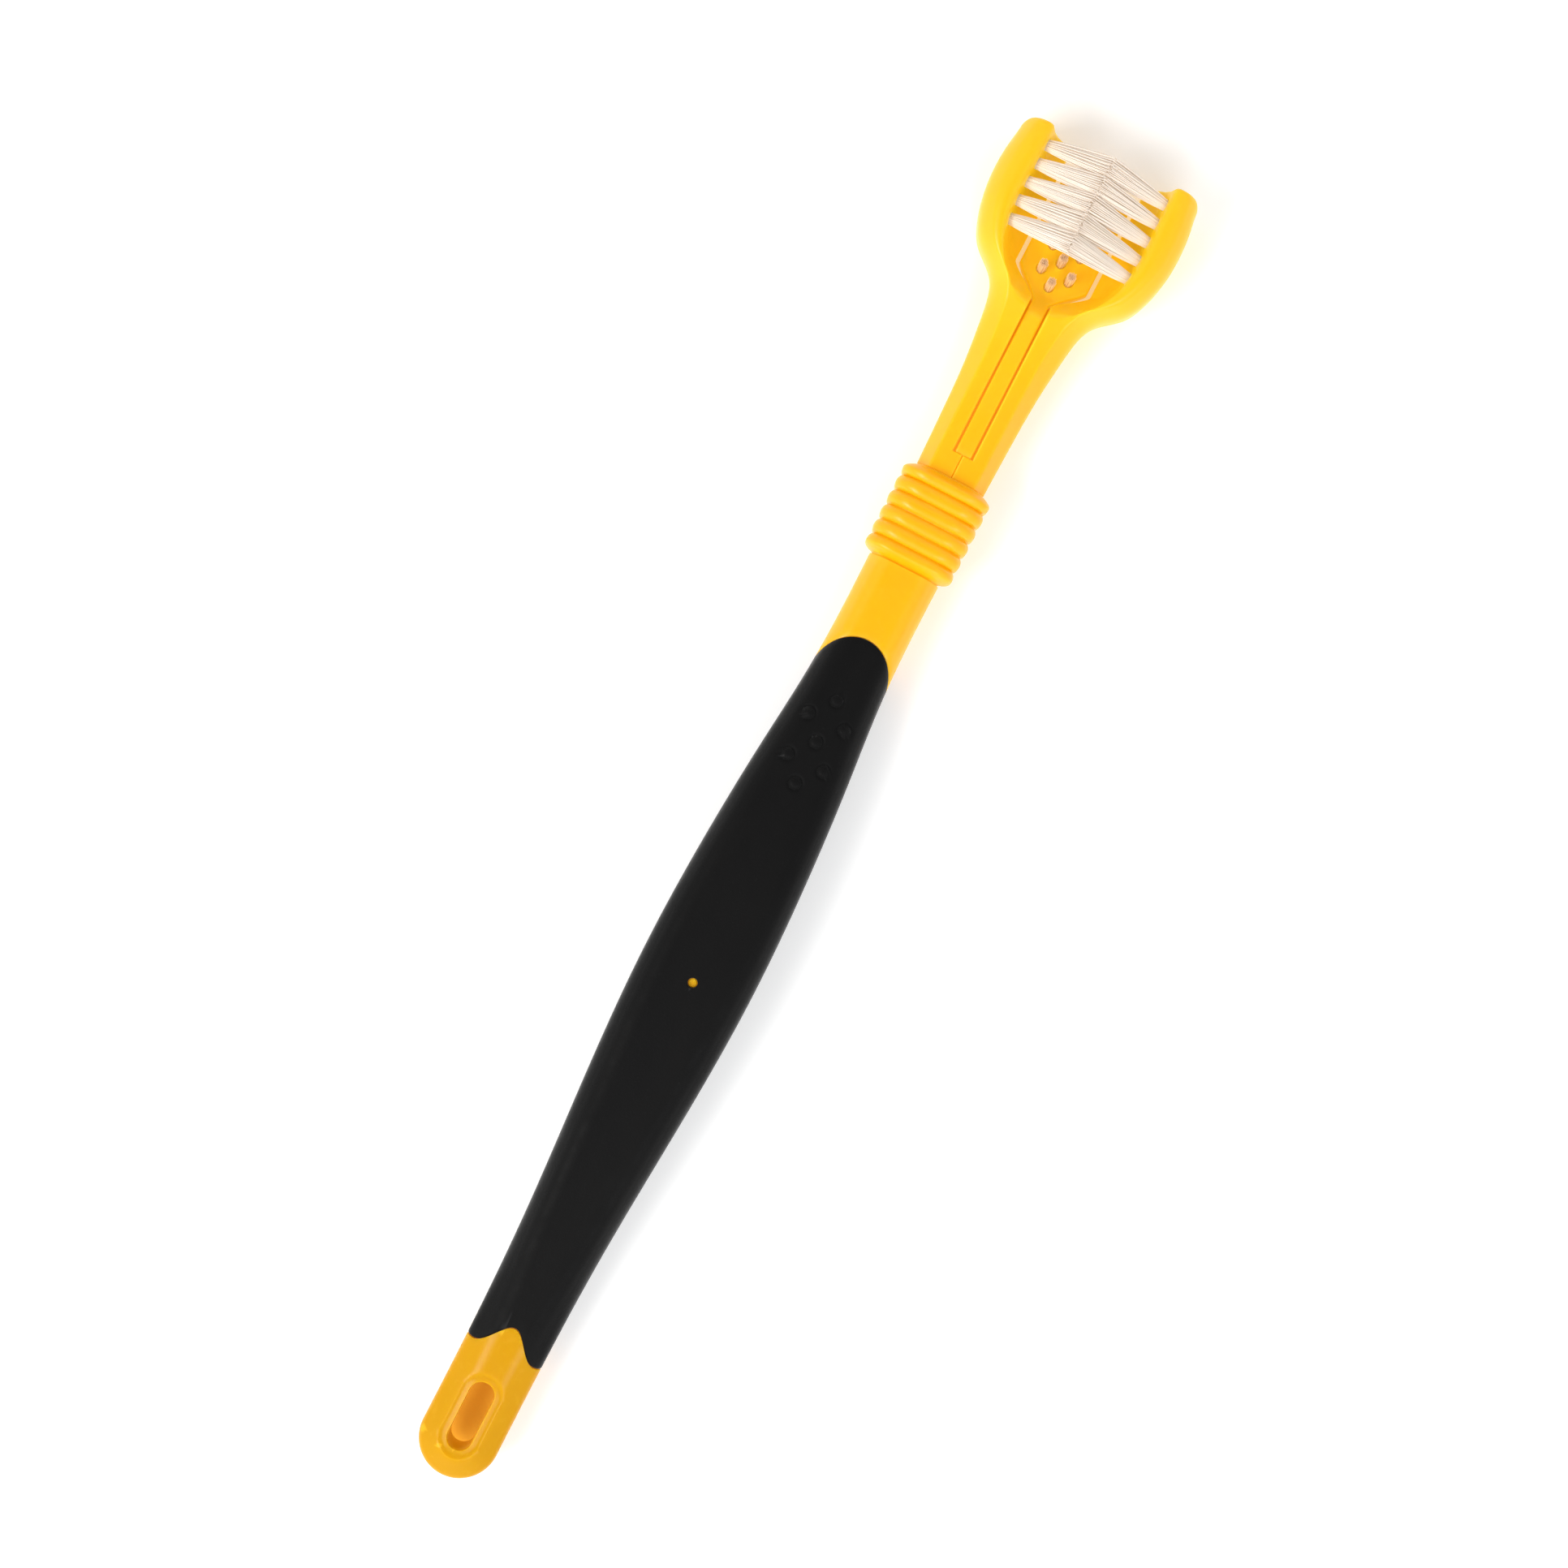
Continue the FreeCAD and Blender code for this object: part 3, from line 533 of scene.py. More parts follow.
def half_profile(station, inset=0.0):
    """Right half of a handle section, from the middle of the front to the middle of the back."""
    half, flat, back, front = (value(station) for value in HANDLE)
    half, flat = half - inset, max(flat - inset * 0.5, 0.6)
    back, front = back + inset, front - inset
    drop = BEVEL_DROP - inset * 0.4
    corners = [(0, front), (flat, front), (half, front - drop), (half, back + drop), (flat, back), (0, back)]
    return rounded_path(corners, (0, 1.4, 1.6, 1.6, 1.4, 0), 6, (34, 5, 6, 5, 12, 0), closed=False)


def handle_ring(station, inset=0.0):
    """The whole handle section, mirrored from its right half."""
    profile = half_profile(station, inset)
    left = profile[::-1][1:-1] * (-1, 1)
    return np.concatenate([profile, left])


class Skin:
    """The handle's skin at one inset, looked up by station and by lengthwise line."""

    stations = np.array(span(TAIL_RADIUS, COLLAR_START, 0.5))

    def __init__(self, inset):
        self.rings = np.array([handle_ring(station, inset) for station in self.stations])
        self.columns = range(self.rings.shape[1])

    def point(self, station, column):
        out, up = (np.interp(station, self.stations, self.rings[:, column, axis]) for axis in (0, 1))
        return float(station), float(out), float(up)

    def row(self, stations):
        """Points of all lengthwise lines, each at its own station."""
        return [self.point(station, column) for column, station in enumerate(stations)]

    def edge(self, curve, low, high):
        """Where an edge curve, given as station by half width, crosses each lengthwise line."""
        found = []
        for column in self.columns:
            near, far = low, high
            for _ in range(16):
                middle = (near + far) / 2
                if middle < curve(self.point(middle, column)[1]):
                    near = middle
                else:
                    far = middle
            found.append((near + far) / 2)
        return np.array(found)


def bell_station(out):
    """The grip's edge at the tail: a bell of yellow that runs up the middle."""
    return GRIP_START + BELL_RISE / 2 * (1 + math.cos(math.pi * min(abs(out) / BELL_REACH, 1.0)))


def arch_station(out):
    """The grip's edge at the head: a round arch."""
    across = min(abs(out) / ARCH["half"], 1.0)
    return ARCH_TOP - ARCH["length"] * (1 - math.sqrt(1 - across**2))


OUTSIDE = Skin(0.0)
TAIL_EDGE = OUTSIDE.edge(bell_station, GRIP_START - 1, GRIP_START + BELL_RISE + 1)
HEAD_EDGE = OUTSIDE.edge(arch_station, ARCH_TOP - ARCH["length"] - 1, GRIP_END + 1)
# Insets: three steps of a rounded edge, the wall between grip and core, and the core's seat under it.
SEAT = GRIP_WALL + 0.15
SKINS = {inset: Skin(inset) for inset in (0.06, 0.14, 0.3, GRIP_WALL, SEAT)}


def slot_distance(station, out):
    """Distance from the hang slot's edge, in plan."""
    near, far = SLOT["start"] + SLOT["half"], SLOT["end"] - SLOT["half"]
    along = station - min(max(station, near), far)
    return math.hypot(along, out) - SLOT["half"]


def dished(point):
    """Sinks the shallow dish round the hang slot into the front and the back."""
    station, out, up = point
    away = slot_distance(station, out)
    depth = DISH["depth"] * (1 - smooth(away, DISH["margin"] - 0.5, DISH["margin"] + 0.1))
    return station, out, up - depth if up > MID_HEIGHT else up + depth


def round_tail():
    """Rows of the tail end: the first full section, turned about an upright axis from the tip round to it."""
    for degrees in range(90, 0, -4):
        turn = math.radians(degrees)
        yield [
            (TAIL_RADIUS - abs(out) * math.sin(turn), out * math.cos(turn) if degrees < 90 else 0.0, up)
            for out, up in OUTSIDE.rings[0]
        ]


def make_core():
    """Tail, spine and shaft in one skin from the tip to the spigot's end, with the slot cut through."""
    straight = 17.5
    columns = len(TAIL_EDGE)
    rows = list(round_tail())
    rows += [OUTSIDE.row([station] * columns) for station in joined_spans(TAIL_RADIUS, (straight, 0.4))]
    for t in span(0, 1, 0.1)[1:]:
        rows.append(OUTSIDE.row(straight + (TAIL_EDGE - 0.16 - straight) * t))
    rows = [[dished(point) for point in row] for row in rows]
    rows.append(SKINS[0.06].row(TAIL_EDGE - 0.06))
    rows.append(SKINS[0.3].row(TAIL_EDGE))
    rows.append(SKINS[SEAT].row(TAIL_EDGE + 0.02))
    for t in span(0, 1, 0.05)[1:-1]:
        rows.append(SKINS[SEAT].row(TAIL_EDGE + (HEAD_EDGE - TAIL_EDGE) * t))
    rows.append(SKINS[SEAT].row(HEAD_EDGE - 0.02))
    rows.append(SKINS[0.3].row(HEAD_EDGE))
    rows.append(SKINS[0.06].row(HEAD_EDGE + 0.06))
    for t in span(0, 1, 0.08):
        rows.append(OUTSIDE.row(HEAD_EDGE + 0.2 + (COLLAR_START - HEAD_EDGE - 0.2) * t))
    spigot = SKINS[GRIP_WALL]
    for station in (COLLAR_START, CORE_END - 0.3, CORE_END):
        rows.append([(station, out, up) for _, out, up in spigot.row([COLLAR_START] * columns)])
    core = skin("handle_core_skin", rows, start_cap=False)
    carve(core, slot_cutter())
    shade(core)
    return join("handle_core_piece", [core, pin_tip()])


def slot_cutter():
    """Obround cutter whose sides flare a little at both mouths."""
    rings = []
    levels = ((-1.0, 0.3), (2.5, 0.28), (2.85, 0.08), (3.3, 0.0))
    levels += ((7.7, 0.0), (8.2, 0.06), (8.6, 0.2), (14.0, 0.22))
    arc_steps = 24
    half = SLOT["half"]
    near, far = SLOT["start"] + half, SLOT["end"] - half
    for up, wider in levels:
        ring = []
        for centre, first in ((near, 90), (far, -90)):
            for step in range(arc_steps + 1):
                angle = math.radians(first + step * 180 / arc_steps)
                along, out = (half + wider) * math.cos(angle), (half + wider) * math.sin(angle)
                ring.append((centre + along, out, up))
        rings.append(ring)
    return skin("slot_cutter", rings)


def turned(name, station, out, profile, sides=24):
    """A closed turned solid standing on (station, out), from (radius, height) pairs, bottom first."""
    rings = []
    for radius, up in profile:
        angles = [2 * math.pi * i / sides for i in range(sides)]
        rings.append([(station + radius * math.cos(a), out + radius * math.sin(a), up) for a in angles])
    return skin(name, rings)


def front_height(station):
    """Height of the handle's front on its middle line."""
    return HANDLE[3](station)


def pin_tip():
    """The core's pin, whose flat end shows in the grip's hole."""
    top = front_height(PIN["station"]) - PIN["depth"]
    radius = PIN["radius"] - PIN["clearance"]
    profile = ((radius, top - 2.2), (radius, top - 0.12), (radius - 0.12, top), (0.05, top + 0.02))
    tip = turned("pin_tip", PIN["station"], 0.0, profile)
    shade(tip)
    return tip


def thumb_dots():
    """Places of the raised dots: one on the middle line and a pair beside it, in turn."""
    for number in range(THUMB["count"]):
        station = THUMB["start"] + number * THUMB["pitch"]
        for side in (0,) if number % 2 == 0 else (-1, 1):
            yield station, side * THUMB["spread"]


THUMB_DOTS = list(thumb_dots())


def textured(point):
    """Raises the thumb dots on the grip's front, each in a faint moat."""
    station, out, up = point
    on_front = up >= 7.0 and abs(out) <= 5.0
    if not on_front:
        return point
    rise = 0.0
    for dot_station, dot_out in THUMB_DOTS:
        away = math.hypot(station - dot_station, out - dot_out) / THUMB["radius"]
        if away < 1:
            rise += THUMB["rise"] * math.sqrt(1 - away**2)
        if away < 1.75:
            rise -= THUMB["moat"] * math.exp(-(((away - 1.12) / 0.26) ** 2))
    return station, out, up + rise


def proud(point, edge):
    """Lets the grip's front stand a little over the yellow arch, with a rounded edge."""
    station, out, up = point
    away = max(edge - station, 0.0)
    if up < 6.5 or away > ARCH["fade"]:
        return point
    round_edge = math.sqrt(max(0.0, 1 - max(0.0, 1 - away / ARCH["edge"]) ** 2))
    rise = ARCH["rise"] * round_edge * (1 - smooth(away, ARCH["hold"], ARCH["fade"])) * smooth(up, 6.5, 8.0)
    return station, out, up + rise


def make_grip():
    """Closed tube: rounded edge, outer skin, rounded edge, inner skin."""
    length = HEAD_EDGE - TAIL_EDGE
    start, end = float(np.median(TAIL_EDGE)), float(np.median(HEAD_EDGE))
    # Rows lie closer round the pin hole, and closest under the thumb dots.
    dots_start, dots_end = THUMB["start"] - 1.8, 128.4
    stretches = ((78.5, 1.6), (84.0, 0.3), (dots_start, 1.6), (dots_end, 0.17), (end, 0.7))
    places = joined_spans(start, *stretches)
    rows = [SKINS[GRIP_WALL].row(TAIL_EDGE + 0.04), SKINS[0.3].row(TAIL_EDGE + 0.04)]
    rows += [SKINS[0.14].row(TAIL_EDGE + 0.1), SKINS[0.06].row(TAIL_EDGE + 0.2)]
    for place_at in places:
        stations = TAIL_EDGE + 0.38 + (length - 1.7) * (place_at - start) / (end - start)
        row = [textured(point) for point in OUTSIDE.row(stations)]
        rows.append([proud(point, edge) for point, edge in zip(row, HEAD_EDGE)])
    for before in (1.1, 0.9, 0.7, 0.5, 0.32, 0.18, 0.08):
        row = OUTSIDE.row(HEAD_EDGE - before)
        rows.append([proud(point, edge) for point, edge in zip(row, HEAD_EDGE)])
    rows.append(SKINS[0.14].row(HEAD_EDGE - 0.04))
    rows.append(SKINS[GRIP_WALL].row(HEAD_EDGE - 0.04))
    for t in span(1, 0, 0.05)[1:-1]:
        rows.append(SKINS[GRIP_WALL].row(TAIL_EDGE + length * t))
    grip = skin("grip_overmould_piece", rows, closed=True)
    carve(grip, pin_hole())
    shade(grip)
    return grip


def pin_hole():
    """Cutter for the grip's small hole, with a softened mouth."""
    top = front_height(PIN["station"])
    radius = PIN["radius"]
    profile = ((radius, top - 3.0), (radius, top - 0.25), (radius + 0.05, top - 0.12))
    profile += ((radius + 0.22, top + 0.02), (radius + 0.3, top + 1.0))
    return turned("pin_hole", PIN["station"], 0.0, profile)


# --- Collar ---------------------------------------------------------------------

COLLAR = {"half": 6.15, "flat": 3.9, "back": 1.3, "front": 10.0, "drop": 2.0}
COLLAR_CHAMFER = {"depth": 0.85, "run": 1.4, "end": 0.9}
COLLAR_WALL = 1.5


def collar_ring(station, rise):
    """The collar's eight-cornered section, grown by a rise on every side."""
    half, flat = COLLAR["half"] + rise, COLLAR["flat"] + rise * 0.5
    back, front, drop = COLLAR["back"] - rise, COLLAR["front"] + rise, COLLAR["drop"]
    low, high = back + drop, front - drop
    corners = [(-flat, front), (flat, front), (half, high), (half, low)]
    corners += [(flat, back), (-flat, back), (-half, low), (-half, high)]
    ring = rounded_path(corners, [1.5] * 8, 5, (5, 3, 4, 3, 5, 3, 4, 3))
    return [(station, out, up) for out, up in ring]


def rib_rise(station):
    """How far the ribs stand out: half-rounds side by side."""
    half_width = RIB["pitch"] / 2 + 0.02
    nearest = min(abs(station - RIB["start"] - RIB["pitch"] * i) for i in range(RIB["count"]))
    return RIB["rise"] * math.sqrt(max(0.0, 1 - (nearest / half_width) ** 2))


def make_collar():
    """Closed sleeve: ribs outside, a chamfer at both ends and a plain bore."""
    rings = []
    for station in span(COLLAR_START, COLLAR_END, 0.14):
        near_end = min(station - COLLAR_START, COLLAR_END - station)
        sink = COLLAR_CHAMFER["depth"] * (1 - smooth(near_end, -0.1, COLLAR_CHAMFER["run"]))
        rings.append(collar_ring(station, rib_rise(station) - sink))
    rings.append(collar_ring(COLLAR_END, -COLLAR_CHAMFER["end"]))
    rings.append(collar_ring(COLLAR_END, -COLLAR_WALL))
    rings.append(collar_ring(COLLAR_START, -COLLAR_WALL))
    collar = skin("retaining_collar_piece", rings, closed=True)
    shade(collar, 50)
    return collar


# --- Wings ----------------------------------------------------------------------

HEAD = splines(HEAD_SECTIONS)
SCOOP = splines(SCOOP_SECTIONS)
SEAM = 0.04
STEM = {"start": 166.75, "half": 1.28, "slit": 0.31, "top": 8.55, "bottom": 5.2}
FLARE = {"start": 192.2, "end": 196.4}
PAD = {"half": PAD_HALF, "slit": 0.65, "top": 6.0, "bottom": 3.2, "corner": 1.6}
RAMP = {"start": 189.4, "end": 193.6}
TANG = {"out": 4.55, "back": 3.05, "front": 8.15}
TIP = {"start": 207.0, "flat_in": 10.0, "flat_out": 13.0, "inner": 5.5, "drop": 0.5, "corner": 1.35}


def stem_half(station):
    """Half width of the tongue in plan."""
    return STEM["half"] + (PAD["half"] - STEM["half"]) * flare(station)


def flare(station):
    """0 on the stem and 1 on the pad, with a straight and a soft part mixed."""
    t = min(max((station - FLARE["start"]) / (FLARE["end"] - FLARE["start"]), 0.0), 1.0)
    return 0.65 * t + 0.35 * t * t * (3 - 2 * t)


def inner_edge(station):
    """Half width of the opening between the wings."""
    if station < STEM["start"]:
        return SEAM
    slit = STEM["slit"] + (PAD["slit"] - STEM["slit"]) * smooth(station, FLARE["start"], FLARE["end"])
    return stem_half(station + 0.25) + slit


def wing_ring(station, inset=0.0):
    """The left wing's section: eight rounded corners, starting inside at the back."""
    edge = inner_edge(station)
    if station < COLLAR_END + 0.02:
        out, back, front = TANG["out"], TANG["back"], TANG["front"]
        corners = [(edge, back), (out - 0.6, back), (out, back + 0.6), (out, front - 0.6)]
        corners += [(out - 0.6, front), (3.0, front), (2.0, front), (edge, front)]
    else:
        half, flat, back, front = (value(station) for value in HEAD)
        floor_up, knee_half, knee_up, top_half = (value(station) for value in SCOOP)
        fade = smooth(station, 189.3, 192.5)
        rim = flat + (top_half - flat) * 0.5
        inner_rim = min(top_half, flat - 0.35)
        knee_up = front + (min(knee_up, front) - front) * fade
        floor_up = front + (min(floor_up, front) - front) * fade
        knee = max(min(knee_half, inner_rim - 0.2), edge + 0.12)
        inner_rim = max(inner_rim, knee + 0.2)
        foot = 0.005 if station < STEM["start"] else edge
        corners = [(foot, back), (flat, back), (half, back + BEVEL_DROP), (half, front - BEVEL_DROP)]
        corners += [(max(flat, rim), front), (inner_rim, front), (knee, knee_up), (edge, floor_up)]
    ring = rounded_path(corners, (0.25, 1.4, 1.7, 1.7, 1.5, 1.0, 1.3, 0.3), 5, (8, 4, 5, 4, 6, 5, 5, 5))
    if inset:
        ring = inset_ring(ring, inset)
    return ring


def tip_station(out):
    """Where the wing ends, by distance from the middle."""
    full = OVERALL
    if out > TIP["flat_out"]:
        past = min((out - TIP["flat_out"]) / TIP["corner"], 1.0)
        return full - TIP["corner"] * (1 - math.sqrt(max(0.0, 1 - past**2)))
    return full - TIP["drop"] * smooth(TIP["flat_in"] - out, 0.0, TIP["flat_in"] - TIP["inner"])


def wing_rows():
    """Rows of the left wing: tang in the collar, neck, scoop, and the tip with its rounded end."""
    tang = [ROOT_START, ROOT_START + 0.2, COLLAR_END - 0.1, COLLAR_END + 0.01]
    rows = [(station, wing_ring(station)) for station in tang]
    mouth = COLLAR_END + 0.03
    rows.append((mouth, wing_ring(mouth, 0.12)))
    foot = STEM["start"]
    stations = [mouth + 0.12] + span(mouth + 0.5, foot - 0.01, 0.6)
    stations += joined_spans(foot + 0.01, (188.0, 1.0), (200.0, 0.25), (TIP["start"], 0.6))
    rows += [(station, wing_ring(station)) for station in stations]
    shaped = [[(station, out, up) for out, up in ring] for station, ring in rows]
    depths = [(t, 0.0) for t in span(0, 0.93, 0.06)[1:]]
    depths += [(0.95, 0.05), (0.97, 0.13), (0.985, 0.24), (0.995, 0.4), (1.0, 0.62)]
    for t, inset in depths:
        station = TIP["start"] + (OVERALL - TIP["start"]) * t
        plain = wing_ring(min(station, OVERALL - 0.3))
        ring = inset_ring(plain, inset) if inset else plain
        row = []
        for (out, up), (plan, _) in zip(ring, plain):
            row.append((TIP["start"] + (tip_station(plan) - TIP["start"]) * t, out, up))
        shaped.append(row)
    return shaped


def tube_between(name, start, end, start_radius, end_radius, sides=20):
    """A closed round bar, which may widen from its start to its end."""
    axis = (Vector(end) - Vector(start)).normalized()
    across = axis.orthogonal().normalized()
    up = axis.cross(across)
    rings = []
    for centre, radius in ((start, start_radius), (end, end_radius)):
        ring = []
        for i in range(sides):
            angle = 2 * math.pi * i / sides
            along, aside = radius * math.cos(angle), radius * math.sin(angle)
            ring.append(tuple(Vector(centre) + across * along + up * aside))
        rings.append(ring)
    return skin(name, rings)


def tuft_hole(station, side):
    """Cutter for the socket that a side tuft stands in, a little wider at its mouth."""
    base, aim = side_base(station, side), side_aim(side)
    return tube_between("hole", base - aim * 1.2, base + aim * 1.6, HOLE_RADIUS, HOLE_RADIUS + 0.06)


def make_wing(side):
    """One arm: side is 1 on the left and -1 on the right."""
    name = "left_arm_piece" if side > 0 else "right_arm_piece"
    rows = [[(station, side * out, up) for station, out, up in row] for row in wing_rows()]
    wing = skin(name, rows)
    for station in SIDE_ROWS:
        carve(wing, tuft_hole(station, side))
    shade(wing)
    return wing


# --- Tongue ---------------------------------------------------------------------


def tongue_ring(station, inset=0.0, narrow=None):
    """The tongue's section: narrow replaces its own half width at the rounded end."""
    half = (stem_half(station) if narrow is None else narrow) - inset
    slope = smooth(station, RAMP["start"], RAMP["end"])
    top = STEM["top"] + (PAD["top"] - STEM["top"]) * slope - inset
    bottom = STEM["bottom"] + (PAD["bottom"] - STEM["bottom"]) * slope + inset
    corners = [(-half, bottom), (half, bottom), (half, top), (-half, top)]
    radius = 0.28 + 0.35 * smooth(station, RAMP["start"], FLARE["end"])
    ring = rounded_path(corners, [radius * 0.6, radius * 0.6, radius, radius], 4, (8, 3, 16, 3))
    return [(station, out, up) for out, up in ring]


def make_tongue():
    """Stem and pad in one skin, with rounded corners at the end and a socket for each centre tuft."""
    foot = STEM["start"]
    rows = [tongue_ring(foot + 0.02, 0.25), tongue_ring(foot + 0.06, 0.08)]
    rows += [tongue_ring(station) for station in joined_spans(foot + 0.2, (188.5, 1.2), (197.0, 0.2))]
    corner = PAD["corner"]
    straight = PAD_END - corner
    rows += [tongue_ring(station) for station in span(197.6, straight, 0.6)]
    for angle in (10, 20, 32, 44, 56, 68, 78, 86):
        turn = math.radians(angle)
        half = PAD["half"] - corner * (1 - math.cos(turn))
        dip = 0.0 if angle < 44 else 0.5 * ((angle - 44) / 42) ** 2
        station = straight + corner * math.sin(turn)
        row = tongue_ring(station, 0.0, half)
        rows.append([(at, out, up - dip if up > 4.6 else up + dip * 0.5) for at, out, up in row])
    tongue = skin("centre_tongue_piece", rows)
    for station, outs in CENTRE_ROWS:
        for out in outs:
            profile = ((CENTRE_HOLE, PAD["top"] - 1.3), (CENTRE_HOLE, PAD["top"] - 0.15))
            profile += ((CENTRE_HOLE + 0.1, PAD["top"] + 0.05), (CENTRE_HOLE + 0.12, PAD["top"] + 1.5))
            carve(tongue, turned("hole", station, out, profile))
    shade(tongue)
    return tongue


# --- Bristles -------------------------------------------------------------------

SIDE_ROWS = [212.3 - 2.98 * i for i in range(5)]
# The tips of the first and the last row lean a little along the brush.
ROW_LEANS = (0.05, 0.0, 0.0, 0.0, -0.05)
SIDE_TILT = math.radians(25.0)
ALONG, OUT, UP = Vector((1, 0, 0)), Vector((0, 1, 0)), Vector((0, 0, 1))
HOLE_RADIUS = 1.0
# root is a tuft's radius at its socket; across and high are its half widths at the tips.
SIDE_TUFT = {
    "out": 9.7, "up": 9.3, "length": 10.95, "count": 108, "root": 0.72, "across": 1.74, "high": 1.05,
}
CENTRE_ROWS = [(194.8 + 1.94 * i, (0.0,) if i % 2 == 0 else (-2.24, 2.24)) for i in range(9)]
CENTRE_HOLE = 0.8
CENTRE_TUFT = {"length": 4.6, "count": 40, "root": 0.6, "across": 0.66, "high": 0.66}
FILAMENT = {"radius": 0.092, "sides": 5, "steps": 7, "tip": 0.55, "sink": 1.0}
SCATTER = {"place": 0.025, "length": 0.014, "bend": 0.04, "radius": 0.05}
OPENING = 0.75  # below 1, a tuft opens up early and then runs on nearly straight
OBLIQUE = Vector((1.0, 0.13, 0.21))  # no filament runs this way
GOLDEN_ANGLE = 2.39996


def filament(vertices, faces, path, radius):
    """Adds one filament with a narrowed tip along a path of millimetre points."""
    sides = FILAMENT["sides"]
    base = len(vertices)
    for i, point in enumerate(path):
        ahead = path[min(i + 1, len(path) - 1)] - path[max(i - 1, 0)]
        across = ahead.cross(OBLIQUE).normalized()
        other = ahead.cross(across).normalized()
        thin = radius * (FILAMENT["tip"] if i == len(path) - 1 else 1.0)
        for j in range(sides):
            angle = 2 * math.pi * j / sides
            place_at = point + (across * math.cos(angle) + other * math.sin(angle)) * thin
            vertices.append(((TAIL + place_at.x) * MM, place_at.y * MM, place_at.z * MM))
    for i in range(len(path) - 1):
        for j in range(sides):
            k = (j + 1) % sides
            a, b = base + i * sides, base + (i + 1) * sides
            faces.append((a + j, a + k, b + k, b + j))
    faces.append(tuple(base + j for j in range(sides))[::-1])
    faces.append(tuple(base + (len(path) - 1) * sides + j for j in range(sides)))


def sunflower(count):
    """Evenly packed places in the unit disc."""
    for i in range(count):
        radius = math.sqrt((i + 0.5) / count)
        angle = i * GOLDEN_ANGLE
        yield radius * math.cos(angle), radius * math.sin(angle)


def tuft(vertices, faces, rng, base, aim, side_axis, high_axis, spec, lean=0.0):
    """A bundle of filaments from a socket, opening towards the tips in a soft curve."""
    sink, place_scatter, bend_scatter = FILAMENT["sink"], SCATTER["place"], SCATTER["bend"]
    for u, v in sunflower(spec["count"]):
        jitter_u, jitter_v = rng.gauss(0, place_scatter), rng.gauss(0, place_scatter)
        length = spec["length"] * (1 + rng.gauss(0, SCATTER["length"]))
        bend = rng.gauss(0, bend_scatter), rng.gauss(0, bend_scatter)
        path = []
        for step in range(FILAMENT["steps"] + 1):
            t = step / FILAMENT["steps"]
            distance = -sink + (length + sink) * t
            open_up = max(distance / length, 0.0) ** OPENING
            across = spec["root"] * u * (1 - open_up) + (spec["across"] * (u + jitter_u) + lean) * open_up
            high = spec["root"] * v * (1 - open_up) + spec["high"] * (v + jitter_v) * open_up
            across += bend[0] * math.sin(math.pi * t)
            high += bend[1] * math.sin(math.pi * t)
            path.append(base + aim * distance + side_axis * across + high_axis * high)
        filament(vertices, faces, path, FILAMENT["radius"] * (1 + rng.gauss(0, SCATTER["radius"])))


def bristle_piece(name, node, tufts):
    """One object with the filaments of one or two tufts."""
    vertices, faces = [], []
    rng = random.Random(name)
    for arguments in tufts:
        tuft(vertices, faces, rng, *arguments)
    mesh = bpy.data.meshes.new(name)
    mesh.from_pydata(vertices, [], faces)
    piece = bpy.data.objects.new(name, mesh)
    bpy.context.scene.collection.objects.link(piece)
    shade(piece, 70)
    return place(piece, NYLON, "nylon_bristle", node)


def side_base(station, side):
    """Where a side tuft leaves its arm."""
    return Vector((station, side * SIDE_TUFT["out"], SIDE_TUFT["up"]))


def side_aim(side):
    """The way a side tuft points: inward and up."""
    return Vector((0, -side * math.cos(SIDE_TILT), math.sin(SIDE_TILT)))


def make_side_row(number, side):
    """One tuft of the side brush, reaching the middle of the tooth space."""
    base = side_base(SIDE_ROWS[number], side)
    high_axis = Vector((0, side * math.sin(SIDE_TILT), math.cos(SIDE_TILT)))
    tufts = [(base, side_aim(side), ALONG, high_axis, SIDE_TUFT, ROW_LEANS[number])]
    word = "left" if side > 0 else "right"
    return bristle_piece(f"{word}_bristles_{number + 1}", f"{word}_tuft_row_{number + 1}", tufts)


def make_centre_row(number):
    """One row of the pad: a single upright tuft or a pair."""
    station, outs = CENTRE_ROWS[number]
    tufts = [(Vector((station, out, PAD["top"])), UP, ALONG, OUT, CENTRE_TUFT) for out in outs]
    return bristle_piece(f"centre_bristles_{number + 1}", f"centre_tuft_row_{number + 1}", tufts)


# --- Build ----------------------------------------------------------------------


def at(station, out=0.0, up=MID_HEIGHT):
    """A place on the brush, in frame metres."""
    return (TAIL + station) * MM, out * MM, up * MM


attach(place(make_core(), YELLOW, "yellow_plastic", "handle_core"), "handle")
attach(place(make_grip(), BLACK, "black_rubber", "grip_overmould"), "handle")
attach(place(make_collar(), YELLOW, "yellow_plastic", "retaining_collar"), "handle")

for word, side in (("left", 1), ("right", -1)):
    wing = place(make_wing(side), YELLOW, "yellow_plastic", f"{word}_arm")
    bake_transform(wing)
    for number in range(len(SIDE_ROWS)):
        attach(make_side_row(number, side), f"{word}_wing")

tongue = place(make_tongue(), YELLOW, "yellow_plastic", "centre_tongue")
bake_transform(tongue)
for number in range(len(CENTRE_ROWS)):
    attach(make_centre_row(number), "tongue")

for node in ("left_tuft_anchors", "right_tuft_anchors", "centre_tuft_anchors"):
    for slot in bpy.data.objects[node].material_slots:
        slot.material = BRASS

# --- Floor, light and camera ----------------------------------------------------

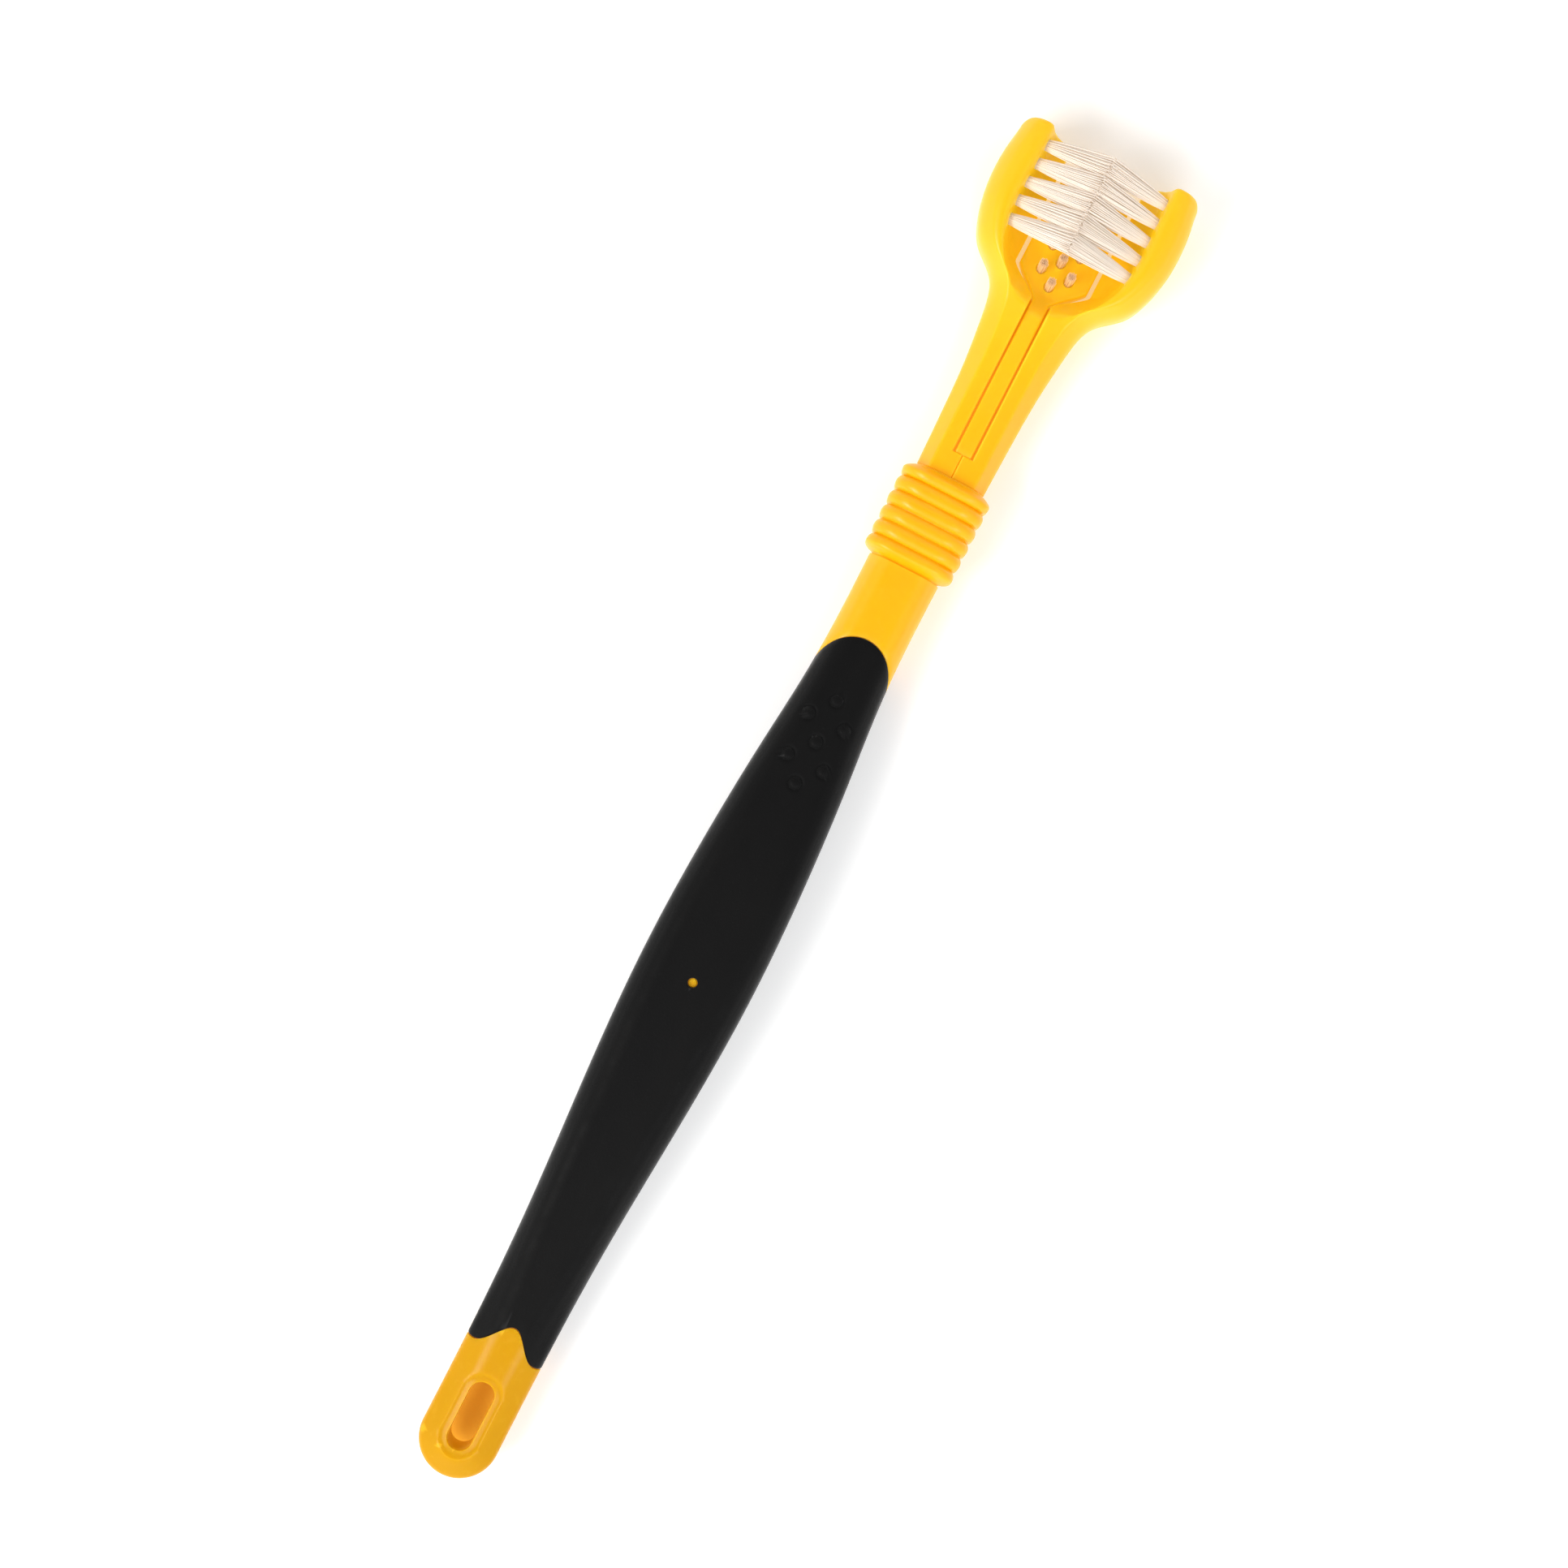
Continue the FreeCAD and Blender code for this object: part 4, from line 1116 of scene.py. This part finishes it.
# Painted amber light under the brush, for light let through the plastic. Stations below the hang slot and
# below the slits
# of the neck, then metres: the half widths within which the amber is full and beyond which there is none, and
# its fade at both ends.
AMBER_LIGHT_PATCHES = ((2.0, 19.0), (160.0, 197.0))
AMBER_HALF = {"full": 0.002, "none": 0.0045}
AMBER_FADE = {"start": 0.002, "end": 0.004}
CAMERA = {"lens": 63.0, "sensor": 36.0, "width": 0.2275, "target": (0.0051, 0.00135, 0.0085)}
SOFTBOX = (0.4, 0.24)
WORLD_STRENGTH = 0.64


def paper():
    """Pale paper. Below the slot and the slits it holds the amber light that the plastic lets through."""
    n = Nodes("pale_paper")
    colour = n.ramp(n.noise(30.0), (0.3, (0.95, 0.95, 0.95)), (0.7, (0.97, 0.97, 0.97)))
    glow = (1.0, 1.0, 1.0)
    full, none = AMBER_HALF["full"], AMBER_HALF["none"]
    for low, high in AMBER_LIGHT_PATCHES:
        start, end = (TAIL + low) * MM, (TAIL + high) * MM
        amber_light = n.product(
            n.spread(n.axis("Y"), -none, -full, 0.0, 1.0),
            n.spread(n.axis("Y"), full, none, 1.0, 0.0),
            n.spread(n.axis("X"), start, start + AMBER_FADE["start"], 0.0, 1.0),
            n.spread(n.axis("X"), end - AMBER_FADE["end"], end, 1.0, 0.0),
        )
        # Painted light: amber colour and a faint amber glow, for light let through the plastic onto the
        # floor.
        colour = n.mix(amber_light, colour, (1.0, 0.52, 0.05))
        glow = n.mix(amber_light, glow, (0.1, 0.04, 0.0))
    return n.set(
        Base_Color=colour,
        Roughness=0.9,
        Specular_IOR_Level=0.1,
        Emission_Color=glow,
        Emission_Strength=0.22,
    )


def make_floor():
    """A wide sheet just under the brush."""
    half = 1.6
    under = -0.0004
    corners = [(-half, -half, under), (half, -half, under), (half, half, under), (-half, half, under)]
    floor = mesh_object("floor", corners, [(0, 1, 2, 3)])
    floor.data.materials.append(paper())


def softbox(name, place_at, watts, colour):
    """A large rectangular lamp that looks at the middle of the brush."""
    lamp = bpy.data.lights.new(name, "AREA")
    lamp.shape = "RECTANGLE"
    lamp.size, lamp.size_y = SOFTBOX
    lamp.energy = watts
    lamp.color = colour
    holder = bpy.data.objects.new(name, lamp)
    holder.location = place_at
    holder.rotation_euler = (-Vector(place_at)).to_track_quat("-Z", "Y").to_euler()
    bpy.context.scene.collection.objects.link(holder)


def make_world():
    """Even white tent: dimmer overhead, where the camera stands, and bright all round the sides."""
    world = bpy.data.worlds.new("soft_studio")
    world.use_nodes = True
    tree = world.node_tree
    place_node = tree.nodes.new("ShaderNodeTexCoord")
    split = tree.nodes.new("ShaderNodeSeparateXYZ")
    ramp = tree.nodes.new("ShaderNodeValToRGB")
    stops = ((0.0, 1.1), (0.6, 1.1), (0.9, 1.05), (0.975, 0.2))
    while len(ramp.color_ramp.elements) < len(stops):
        ramp.color_ramp.elements.new(0.5)
    for element, (position, value) in zip(ramp.color_ramp.elements, stops):
        element.position = position
        element.color = (value, value, value, 1.0)
    tree.links.new(place_node.outputs["Generated"], split.inputs[0])
    tree.links.new(split.outputs["Z"], ramp.inputs["Fac"])
    tree.links.new(ramp.outputs["Color"], tree.nodes["Background"].inputs["Color"])
    tree.nodes["Background"].inputs["Strength"].default_value = WORLD_STRENGTH
    bpy.context.scene.world = world


def make_camera():
    """Looks straight down, turned so that the head points up and to the right."""
    lens, sensor = CAMERA["lens"], CAMERA["sensor"]
    distance = CAMERA["width"] * lens / sensor
    camera = bpy.data.cameras.new("camera")
    camera.lens = lens
    camera.sensor_width = sensor
    camera.clip_start, camera.clip_end = 0.01, 10.0
    holder = bpy.data.objects.new("camera", camera)
    up = Vector((0.890, 0.456, 0.0)).normalized()
    right = Vector((0.456, -0.890, 0.0)).normalized()
    back = right.cross(up)
    turn = Matrix((right, up, back)).transposed().to_4x4()
    holder.matrix_world = Matrix.Translation(Vector(CAMERA["target"]) + Vector((0, 0, distance))) @ turn
    bpy.context.scene.collection.objects.link(holder)
    bpy.context.scene.camera = holder


make_floor()
make_world()
softbox("key", (-0.33, 0.32, 0.5), 3.0, (1.0, 0.985, 0.96))
softbox("fill", (-0.3, -0.34, 0.5), 1.5, (0.97, 0.985, 1.0))
make_camera()
bpy.context.scene.view_settings.view_transform = "Standard"
